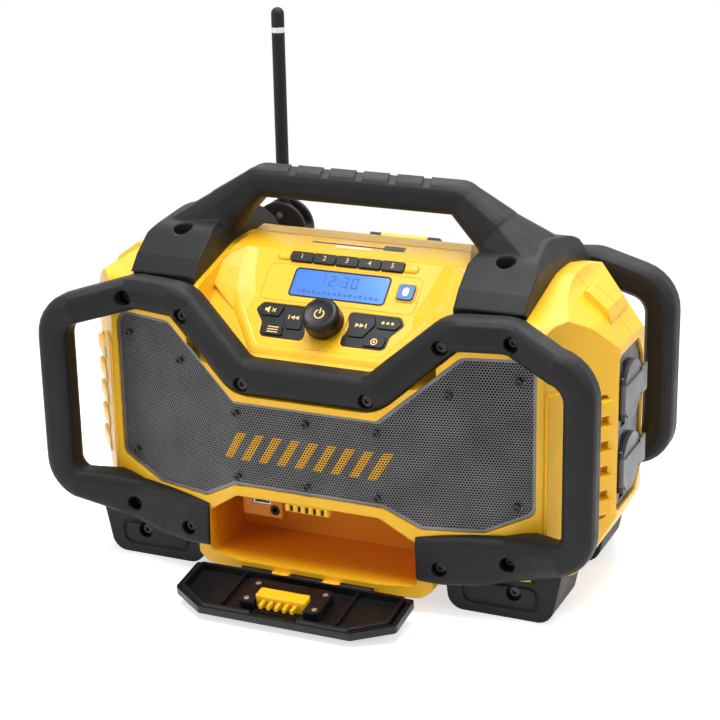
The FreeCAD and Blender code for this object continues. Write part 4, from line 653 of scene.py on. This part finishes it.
def perforated_sheet():
    """The grille with its real staggered holes, each a six-sided opening in a six-sided cell."""
    bm = bmesh.new()
    row = HOLE_PITCH * math.sqrt(3) / 2
    cell = HOLE_PITCH / math.sqrt(3)
    shared = {}

    def corner(u, z):
        x = unfold(u)
        return bm.verts.new(at(x, front_y(x), z))

    def shared_corner(u, z):
        key = (round(u * WELD_STEPS), round(z * WELD_STEPS))
        if key not in shared:
            shared[key] = corner(u, z)
        return shared[key]

    across = int(SHEET_HALF / HOLE_PITCH)
    for j in range(int(SHEET_HEIGHT / row)):
        z = SHEET_LOW + j * row
        for i in range(-across, across + 1):
            u = (i + 0.5 * (j % 2)) * HOLE_PITCH
            if grille_inset(unfold(u), z) < cell:
                continue
            outer = [shared_corner(u + a, z + b) for a, b in hexagon(cell)]
            if near_grille_screw(unfold(u), z):
                bm.faces.new(outer)
                continue
            inner = [corner(u + a, z + b) for a, b in hexagon(HOLE_R)]
            for k in range(6):
                bm.faces.new((outer[k - 1], outer[k], inner[k], inner[k - 1]))
    sheet = piece("grille_perforated", "housing", MATERIALS["grille"], bm)
    thicken(sheet, SHEET_THICK)
    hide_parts("grille")


def fold_to_grille(bm, offset):
    """Cut a flat mesh along the two folds and lay it on the grille's facets."""
    for side in (1, -1):
        bmesh.ops.bisect_plane(bm, geom=bm.verts[:] + bm.edges[:] + bm.faces[:],
                               plane_co=(side * FOLD_X * MM, 0, 0), plane_no=(1, 0, 0))
    for vert in bm.verts:
        vert.co.y = at(0, front_y(vert.co.x / MM) + offset, 0).y


def grille_border():
    """Unpierced edge of the sheet."""
    bm = bmesh.new()
    outer = [bm.verts.new(at(x, 0, z)) for x, z in GRILLE_POINTS]
    inner = [bm.verts.new(at(x, 0, z)) for x, z in inset(GRILLE_POINTS, BORDER + HOLE_PITCH / 2)]
    skin(bm, [outer, inner])
    fold_to_grille(bm, -BORDER_PROUD)
    thicken(piece("grille_border", "housing", MATERIALS["grille"], bm), BORDER_THICK)


def grille_backing():
    """Dark cloth between the grille and the baffle."""
    bm = bmesh.new()
    bm.faces.new([bm.verts.new(at(x, 0, z)) for x, z in inset(GRILLE_POINTS, CLOTH_INSET)])
    fold_to_grille(bm, GRILLE_THICK + CLOTH_GAP)
    thicken(piece("grille_cloth", "housing", MATERIALS["cloth"], bm), CLOTH_THICK)


def plate(bm, points, place, low, high):
    """Thin solid with a flat outline, from one height to another over a surface."""
    bottom = [bm.verts.new(place(a, b, low)) for a, b in points]
    top = [bm.verts.new(place(a, b, high)) for a, b in points]
    bm.faces.new(top)
    bm.faces.new(list(reversed(bottom)))
    skin(bm, [bottom, top])


def ring(bm, outer, inner, place, low, high):
    """Thin frame between two outlines with as many points each."""
    rows = [[bm.verts.new(place(a, b, h)) for a, b in points]
            for points, h in ((outer, low), (outer, high), (inner, high), (inner, low))]
    skin(bm, rows + rows[:1])


def turned(count):
    """Angles of as many points spread evenly round a circle."""
    return [2 * math.pi * i / count for i in range(count)]


def circle(a, b, radius, count):
    return [(a + radius * math.sin(t), b + radius * math.cos(t)) for t in turned(count)]


def arc(a, b, radius, start, sweep, count):
    angles = [start + sweep * i / (count - 1) for i in range(count)]
    return [(a + radius * math.sin(t), b + radius * math.cos(t)) for t in angles]


def bar_mark(a, b, width, height):
    return [(a - width / 2, b - height / 2), (a + width / 2, b - height / 2),
            (a + width / 2, b + height / 2), (a - width / 2, b + height / 2)]


def tilted_bar(a, b, width, height, tilt):
    """Bar turned clockwise about its middle."""
    return [(a + p * math.cos(tilt) + q * math.sin(tilt), b + q * math.cos(tilt) - p * math.sin(tilt))
            for p, q in bar_mark(0, 0, width, height)]


def arrow_mark(a, b, size, way):
    """Triangle that points right for way 1 and left for way -1."""
    back = a - way * size / 2
    return [(back, b - size / 2), (a + way * size / 2, b), (back, b + size / 2)]


def arc_mark(bm, place, a, b, radius, width, start, sweep, low, high, count=28):
    """Thin solid along an arc, with flat ends."""
    outer = arc(a, b, radius + width / 2, start, sweep, count)
    inner = arc(a, b, radius - width / 2, start, sweep, count)
    outline = outer + list(reversed(inner))
    rows = [[bm.verts.new(place(p, q, h)) for p, q in outline] for h in (low, high)]
    for i in range(count - 1):
        for row in rows:
            bm.faces.new((row[i], row[i + 1], row[-2 - i], row[-1 - i]))
    skin(bm, rows)


def knob_point(a, b, raised):
    """Point on the knob's dished top."""
    dish = DISH_DEPTH - (a * a + b * b) / DISH_SPREAD
    return on_panel(a, KNOB_V + b, KNOB_FACE - dish + raised)


def power_mark():
    """Plain power sign: an open ring with an upright bar in the gap."""
    bm = bmesh.new()
    sweep = 2 * math.pi - 2 * POWER_GAP
    arc_mark(bm, knob_point, 0, -0.4, POWER_R, POWER_STROKE, POWER_GAP, sweep, -0.05, 0.1)
    plate(bm, bar_mark(0, 2.2, POWER_STROKE, 4.2), knob_point, -0.05, 0.1)
    piece("knob_mark", "knob", MATERIALS["mark"], bm)


def key_sign(name, outlines, crossed=()):
    """Sign on a key, from flat outlines; crossed ones lie a touch lower and higher."""
    bm = bmesh.new()
    for outline in outlines:
        plate(bm, outline, on_panel, MARK_LOW, MARK_HIGH)
    for outline, step in zip(crossed, (-CROSS_STEP, CROSS_STEP)):
        plate(bm, outline, on_panel, MARK_LOW + step, MARK_HIGH + step)
    piece("mark_" + name, "key_" + name, MATERIALS["mark"], bm)


def key_marks():
    """Plain pictures on the six keys: crossed speaker, lines, skips, dots and a ringed dot."""
    a, b = MUTE_MARK
    speaker = [(a - 3.6, b - 1.1), (a - 2.2, b - 1.1), (a, b - 2.9), (a, b + 2.9), (a - 2.2, b + 1.1),
               (a - 3.6, b + 1.1)]
    cross = [tilted_bar(a + 3.4, b, 0.7, 4.0, tilt) for tilt in (-math.pi / 4, math.pi / 4)]
    key_sign("mute", [speaker], cross)
    a, b = MENU_MARK
    key_sign("menu", [bar_mark(a, b + step, 8.5, 0.8) for step in (-2, 0, 2)])
    a, b = SKIP_MARK
    for name, way in (("previous", -1), ("next", 1)):
        arrows = [arrow_mark(way * (a + shift), b, 3.4, way) for shift in (-3.2, 0.2)]
        key_sign(name, arrows + [bar_mark(way * (a + 3.0), b, 0.8, 3.6)])
    a, b = MODE_MARK
    key_sign("mode", [circle(a + shift, b, 1.15, 16) for shift in (-3.6, 0, 3.6)])
    a, b = ENTER_MARK
    bm = bmesh.new()
    ring(bm, circle(a, b, 2.6, 24), circle(a, b, 1.8, 24), on_panel, MARK_LOW, MARK_HIGH)
    plate(bm, circle(a, b, 0.9, 16), on_panel, MARK_LOW, MARK_HIGH)
    piece("mark_enter", "key_enter", MATERIALS["mark"], bm)


def digit(bm, text, a, b):
    """Seven-segment digit on the display, with its lower left corner at (a, b)."""
    stroke = DIGIT_STROKE
    right = a + DIGIT_WIDTH
    top = b + DIGIT_HEIGHT
    middle = b + DIGIT_HEIGHT / 2
    spans = {
        "a": (a, right, top - stroke, top),
        "b": (right - stroke, right, middle, top),
        "c": (right - stroke, right, b, middle),
        "d": (a, right, b, b + stroke),
        "e": (a, a + stroke, b, middle),
        "f": (a, a + stroke, middle, top),
        "g": (a, right, middle - stroke / 2, middle + stroke / 2),
    }
    gap = stroke * DIGIT_GAP
    for name in SEGMENTS[text]:
        a0, a1, b0, b1 = spans[name]
        bar = bar_mark((a0 + a1) / 2, (b0 + b1) / 2, a1 - a0 - 2 * gap, b1 - b0 - 2 * gap)
        plate(bm, bar, on_panel, 0.0, DIGIT_RAISE)


def display_marks():
    """Time in plain digits with small bars under it, and the frame round the display."""
    bm = bmesh.new()
    for text, a in TIME_DIGITS:
        digit(bm, text, a, DIGIT_LOW)
    for v in COLON_HEIGHTS:
        plate(bm, bar_mark(COLON_X, v, 1.0, 1.0), on_panel, 0.0, DIGIT_RAISE)
    for i in range(METER_BARS):
        height = 1.4 + 1.2 * abs(math.sin(1.7 * i))
        bar = bar_mark(METER_X + METER_PITCH * i, METER_LOW + height / 2, 2.4, height)
        plate(bm, bar, on_panel, 0.0, DIGIT_RAISE)
    piece("display_digits", "housing", MATERIALS["digit"], bm)
    bm = bmesh.new()
    outer = rounded(box_corners(-LENS_X - FRAME_OUT, LENS_X + FRAME_OUT, LENS_LOW - FRAME_OUT,
                                LENS_HIGH + FRAME_OUT, 3.2))
    ring(bm, outer, inset(outer, FRAME_WIDTH), on_panel, -0.1, 0.25)
    piece("display_frame", "housing", MATERIALS["black"], bm)


def font_mark(name, body, text, a, b, size, raised, material):
    """Plain printed number, centred on a point of the panel."""
    curve = bpy.data.curves.new(name, "FONT")
    curve.body = text
    curve.size = size
    curve.align_x = "CENTER"
    curve.align_y = "CENTER"
    holder = bpy.data.objects.new(name + "_text", curve)
    bpy.context.scene.collection.objects.link(holder)
    mesh = bpy.data.meshes.new_from_object(holder.evaluated_get(bpy.context.evaluated_depsgraph_get()))
    bpy.data.objects.remove(holder)
    bm = bmesh.new()
    bm.from_mesh(mesh)
    bpy.data.meshes.remove(mesh)
    for vert in bm.verts:
        vert.co = on_panel(a + vert.co.x, b + vert.co.y, raised)
    piece(name, body, material, bm)


def preset_marks():
    """Plain numbers 1 to 5 on the preset keys."""
    for i in range(5):
        number = str(i + 1)
        font_mark("mark_preset_" + number, "preset_key_" + number, number, (i - 2) * PRESET_PITCH,
                  PRESET_V, PRESET_SIZE, KEY_RAISE + PRESET_RAISE, MATERIALS["mark"])


def pairing_mark():
    """Plain white pill on the pairing key, and a yellow rim round the key."""
    bm = bmesh.new()
    plate(bm, rounded(box_round(PAIRING_MARK, 2.3, 3.4, 2.25)), on_panel, KEY_RAISE - 0.02,
          KEY_RAISE + 0.1)
    piece("mark_pairing", "pairing_key", MATERIALS["white_mark"], bm)
    bm = bmesh.new()
    outer = rounded(box_round(PAIRING_MARK, 7.6, 7.6, 3.6))
    ring(bm, outer, inset(outer, 1.2), on_panel, -0.1, 0.7)
    piece("pairing_surround", "housing", MATERIALS["yellow"], bm)


def pill_ends():
    """Moulded yellow ends of the row of preset keys."""
    bm = bmesh.new()
    for side in (1, -1):
        rows = []
        for height, shrink in ((-0.1, 0.0), (0.9, 0.3), (1.5, 1.1), (1.7, 2.2)):
            near = side * PILL_NEAR
            far = side * (PILL_FAR - shrink)
            low = PRESET_V - PILL_HALF + shrink
            high = PRESET_V + PILL_HALF - shrink
            radius = PILL_R - shrink
            outline = rounded([(near, low, 0), (far, low, radius), (far, high, radius), (near, high, 0)])
            rows.append([bm.verts.new(on_panel(a, b, height)) for a, b in outline])
        skin(bm, rows)
        bm.faces.new(rows[-1])
    piece("preset_ends", "housing", MATERIALS["yellow"], bm)


def lathe(bm, profile, place, count=64):
    """Turned form from (radius, height) points, from the outer foot to the middle of the top."""
    rows = []
    for radius, height in profile:
        rows.append([bm.verts.new(place(a, b, height)) for a, b in circle(0, 0, radius, count)])
    skin(bm, rows)
    bm.faces.new(rows[0])
    bm.faces.new(rows[-1])


def smooth_knob():
    """Volume knob with smooth flanks, a fine groove at its foot and a dished top."""
    bm = bmesh.new()
    foot = [(14.0, 3.5), (14.0, 5.4)]
    groove = [(13.7, 5.7), (13.7, 6.1), (13.95, 6.4)]
    flank = [(13.5, 14.2), (13.2, 15.6), (12.5, 16.7), (11.4, 17.3), (10.3, 17.45)]
    dish = [(9.7, 17.3), (9.1, 16.95), (6.0, 16.7), (3.0, 16.6)]
    profile = foot + groove + flank + dish
    lathe(bm, profile, lambda a, b, h: on_panel(a, KNOB_V + b, h))
    knob = piece("knob_smooth", "knob", MATERIALS["black"], bm)
    for face in knob.data.polygons:
        face.use_smooth = len(face.vertices) == 4
    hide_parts("volume_knob")


def deck_point(a, b, raised):
    """Point of the deck behind the panel: across, back along the slope and outwards."""
    crest = on_panel(0, PANEL_LENGTH)
    y = crest.y + (b * math.cos(DECK_TILT) - raised * math.sin(DECK_TILT)) * MM
    z = crest.z + (b * math.sin(DECK_TILT) + raised * math.cos(DECK_TILT)) * MM
    return Vector((a * MM, y, z))


def deck_details():
    """Dark slot, small bare plate and clear strip on the deck."""
    for name, span, height, material in DECK_DETAILS:
        bm = bmesh.new()
        plate(bm, rounded(box_corners(*span, 0.6)), deck_point, -0.2, height)
        piece(name, "housing", MATERIALS[material], bm)


def ribbon(bm, rows, place):
    """Surface through rows of (a, b, height) points."""
    verts = [[bm.verts.new(place(*point)) for point in row] for row in rows]
    for lower, upper in zip(verts, verts[1:]):
        for i in range(1, len(lower)):
            bm.faces.new((lower[i - 1], lower[i], upper[i], upper[i - 1]))


def panel_cheeks():
    """Sloped cheeks at both ends of the panel."""
    bm = bmesh.new()
    inner = [(71.5, 88, -0.05), (67, 66, -0.05), (61, 49, -0.05), (63.5, 34, -0.05)]
    middle = [(80, 88, 1.8), (80, 68, 2.2), (76, 50, 1.6), (67, 35, 0.4)]
    outer = [(90, 82, 2.6), (97, 70, 4.0), (97, 54, 3.2), (76, 36, 0.2)]
    for side in (1, -1):
        ribbon(bm, [[(side * a, b, h) for a, b, h in row] for row in (inner, middle, outer)], on_panel)
    thicken(piece("panel_cheeks", "housing", MATERIALS["yellow"], bm), MOULDING_THICK)


def panel_lip():
    """Raised lip of the panel along the roll bar."""
    bm = bmesh.new()
    rows = []
    for step, height in ((0.0, -0.05), (1.0, 0.7), (2.2, 1.1), (5.0, 1.1), (8.0, 0.4), (12.0, -1.5)):
        a = 47.0 + 0.45 * step
        b = 11.5 - step
        half = [(70.0 + 0.8 * step, 45.0 - 0.6 * step), (a + 2, b + 2.9), (a, b + 0.8), (a - 2.5, b)]
        rows.append([(p, q, height) for p, q in half] + [(-p, q, height) for p, q in reversed(half)])
    ribbon(bm, rows, on_panel)
    thicken(piece("panel_lip", "housing", MATERIALS["yellow"], bm), MOULDING_THICK)


def panel_contour():
    """Fine raised line round the display."""
    bm = bmesh.new()
    outline = rounded(box_corners(-58.5, 61.0, 47.0, 77.4, 5.0))
    ring(bm, outline, inset(outline, 0.7), on_panel, -0.1, 0.14)
    piece("panel_contour", "housing", MATERIALS["yellow"], bm)


def star(radius, depth, count):
    """Outline of a six-lobed drive recess."""
    points = []
    for t in turned(count):
        reach = radius + depth * math.cos(6 * t)
        points.append((reach * math.sin(t), reach * math.cos(t)))
    return points


def front_screws():
    """Middle of each front screw's head, and the head's radius."""
    places = []
    for x, z, proud in GUARD_SCREWS:
        places += [(side * x, front_y(x) - proud, z, SCREW_HEAD_R) for side in (1, -1)]
    places += [(side * FOOT_SCREW_X, FOOT_SCREW_Y, FOOT_SCREW_Z, SCREW_HEAD_R) for side in (1, -1)]
    for x, z in SCREW_PLACES:
        edge = front_y(abs(x) - GRILLE_SCREW_R) if abs(x) > FOLD_X else GRILLE_Y
        places.append((x, edge - GRILLE_SCREW_PROUD, z, GRILLE_SCREW_R))
    return places


def screw_faces():
    """Face of each front screw's head, with a six-lobed recess and a soft edge."""
    bm = bmesh.new()
    for x, y, z, radius in front_screws():
        outlines = (
            (circle(0, 0, radius, SCREW_POINTS), -SCREW_DEPTH),
            (circle(0, 0, radius * 0.93, SCREW_POINTS), 0.0),
            (circle(0, 0, radius * 0.7, SCREW_POINTS), SCREW_DOME),
            (star(radius * 0.42, radius * 0.07, SCREW_POINTS), SCREW_DOME),
            (star(radius * 0.38, radius * 0.06, SCREW_POINTS), -SCREW_DEPTH),
        )
        rows = [[bm.verts.new(at(x + a, y - height, z + b)) for a, b in points]
                for points, height in outlines]
        skin(bm, rows + rows[:1])
    piece("screw_faces", "housing", MATERIALS["screw"], bm)


def soft_plate(bm, corners, place, low, high, soft):
    """Raised form with a rounded rim; the corners are (a, b, radius)."""
    outline = rounded(corners)
    rows = []
    rim = ((low, 0.0), (high - soft, 0.0), (high - 0.3 * soft, 0.3 * soft), (high, soft))
    for height, shrink in rim:
        points = inset(outline, shrink) if shrink else outline
        rows.append([bm.verts.new(place(a, b, height)) for a, b in points])
    bm.faces.new(list(reversed(rows[0])))
    bm.faces.new(rows[-1])
    skin(bm, rows)


def corner_place(side):
    """Places on one front corner's slanted face: along it from its middle, up and outwards."""
    along = Vector((SIDE_X - FACE_X, SIDE_Y - FACE_Y)).normalized()
    middle = Vector((SIDE_X + FACE_X, SIDE_Y + FACE_Y)) / 2

    def place(a, b, raised):
        x = middle.x + along.x * a + along.y * raised
        return at(side * x, middle.y + along.y * a - along.x * raised, b)

    return place


def rib_fronts():
    """Full faces of the cooling ribs on both front corners, and the pad beside them."""
    bm = bmesh.new()
    for side in (1, -1):
        place = corner_place(side)
        for i in range(RIB_COUNT):
            z = RIB_TOP_Z - i * RIB_PITCH
            rib = box_corners(RIB_FROM, RIB_TO, z - RIB_HALF, z + RIB_HALF, 2.5)
            soft_plate(bm, rib, place, -4.0, RIB_PROUD, 1.4)
        soft_plate(bm, box_corners(*PAD_CORNERS, 3.0), place, -0.3, PAD_PROUD, 0.9)
    piece("rib_fronts", "housing", MATERIALS["yellow"], bm)


def strike_point(a, b, raised):
    """Point on the front of the catch over the cable bin."""
    return at(a, STRIKE_FRONT - raised, b)


def strike_ribs():
    """Upright ribs on the front of the catch over the cable bin, and dark plates of painted shade in the
    slots between them.
    """
    bm = bmesh.new()
    for i in range(STRIKE_RIBS):
        x = (i - (STRIKE_RIBS - 1) / 2) * STRIKE_PITCH
        soft_plate(bm, box_corners(x - 1.5, x + 1.5, STRIKE_LOW, STRIKE_HIGH, 0.4), strike_point,
                   -0.3, 0.75, 0.3)
    piece("strike_ribs", "housing", MATERIALS["yellow"], bm)
    bm = bmesh.new()
    # Painted shade: thin dark plates stand for the shade inside the openings
    for i in range(STRIKE_RIBS - 1):
        x = (i - (STRIKE_RIBS - 2) / 2) * STRIKE_PITCH
        plate(bm, bar_mark(x, STRIKE_SLOT_Z, 2.2, 4.2), strike_point, -0.2, 0.06)
    piece("strike_slots", "housing", MATERIALS["slot"], bm)


def build_camera():
    """Camera at the photograph's angle, place and focal length."""
    back = Vector((math.sin(CAMERA_AZIMUTH) * math.cos(CAMERA_ELEVATION),
                   -math.cos(CAMERA_AZIMUTH) * math.cos(CAMERA_ELEVATION),
                   math.sin(CAMERA_ELEVATION)))
    right = Vector((math.cos(CAMERA_AZIMUTH), math.sin(CAMERA_AZIMUTH), 0))
    up = back.cross(right)
    turned_right = math.cos(CAMERA_ROLL) * right + math.sin(CAMERA_ROLL) * up
    turned_up = -math.sin(CAMERA_ROLL) * right + math.cos(CAMERA_ROLL) * up
    data = bpy.data.cameras.new("camera")
    data.sensor_width = SENSOR
    data.lens = FOCAL_PIXELS / IMAGE_WIDTH * SENSOR
    camera = bpy.data.objects.new("camera", data)
    matrix = Matrix((turned_right, turned_up, back)).transposed().to_4x4()
    matrix.translation = at(*CAMERA_PLACE)
    camera.matrix_world = matrix
    bpy.context.scene.collection.objects.link(camera)
    bpy.context.scene.camera = camera


def area_light(name, place, target, size, power):
    """Rectangular lamp at a place in metres, aimed at another."""
    data = bpy.data.lights.new(name, "AREA")
    data.shape = "RECTANGLE"
    data.size, data.size_y = size
    data.energy = power
    lamp = bpy.data.objects.new(name, data)
    lamp.location = place
    lamp.rotation_euler = (Vector(target) - Vector(place)).to_track_quat("-Z", "Y").to_euler()
    bpy.context.scene.collection.objects.link(lamp)


def seen_directly(tree):
    """1 where the camera, a reflection or a clear surface looks, and 0 for light on the object."""
    path = tree.nodes.new("ShaderNodeLightPath")
    total = path.outputs["Is Camera Ray"]
    for name in ("Is Glossy Ray", "Is Transmission Ray"):
        add = tree.nodes.new("ShaderNodeMath")
        add.operation = "MAXIMUM"
        tree.links.new(total, add.inputs[0])
        tree.links.new(path.outputs[name], add.inputs[1])
        total = add.outputs[0]
    return total


def build_world():
    """Plain world: white where it is seen, and dimmer as light on the object."""
    world = bpy.data.worlds.new("studio")
    bpy.context.scene.world = world
    world.use_nodes = True
    tree = world.node_tree
    background = tree.nodes["Background"]
    mix = tree.nodes.new("ShaderNodeMix")
    mix.data_type = "FLOAT"
    mix.inputs[2].default_value = AMBIENT
    mix.inputs[3].default_value = 1.0
    tree.links.new(seen_directly(tree), mix.inputs[0])
    tree.links.new(mix.outputs[0], background.inputs["Strength"])
    background.inputs["Color"].default_value = (1, 1, 1, 1)


def build_floor():
    """White floor that keeps a soft shadow round the feet."""
    bm = bmesh.new()
    bmesh.ops.create_grid(bm, x_segments=1, y_segments=1, size=FLOOR_SIZE)
    mesh = bpy.data.meshes.new("floor")
    bm.to_mesh(mesh)
    bm.free()
    floor = bpy.data.objects.new("floor", mesh)
    floor.location.z = -FLOOR_DROP
    bpy.context.scene.collection.objects.link(floor)
    n = Nodes("floor")
    n.shader.inputs["Base Color"].default_value = (0.8, 0.8, 0.8, 1)
    n.shader.inputs["Roughness"].default_value = 0.9
    n.shader.inputs["Specular IOR Level"].default_value = 0.0
    n.shader.inputs["Emission Color"].default_value = (1, 1, 1, 1)
    seen = seen_directly(n.tree)
    n.link(n.math("MULTIPLY", seen, FLOOR_LIFT), n.shader.inputs["Emission Strength"])
    away = n.add("ShaderNodeVectorMath", operation="LENGTH")
    n.link(n.place, away.inputs[0])
    fade = n.math("MULTIPLY", n.span(away.outputs["Value"], *FLOOR_FADE), seen)
    white = n.add("ShaderNodeEmission")
    blend = n.add("ShaderNodeMixShader")
    n.link(fade, blend.inputs[0])
    n.link(n.shader.outputs[0], blend.inputs[1])
    n.link(white.outputs[0], blend.inputs[2])
    n.link(blend.outputs[0], n.tree.nodes["Material Output"].inputs["Surface"])
    mesh.materials.append(n.material)


def build_lights():
    """Soft lamps from above, both sides and behind."""
    for lamp in LAMPS:
        area_light(*lamp)


def main():
    scene = bpy.context.scene
    scene.view_settings.view_transform = "Standard"
    build_camera()
    build_world()
    build_floor()
    build_lights()
    dress_nodes()
    perforated_sheet()
    grille_border()
    grille_backing()
    smooth_knob()
    power_mark()
    key_marks()
    panel_cheeks()
    panel_lip()
    panel_contour()
    deck_details()
    display_marks()
    preset_marks()
    pairing_mark()
    pill_ends()
    screw_faces()
    rib_fronts()
    strike_ribs()


main()
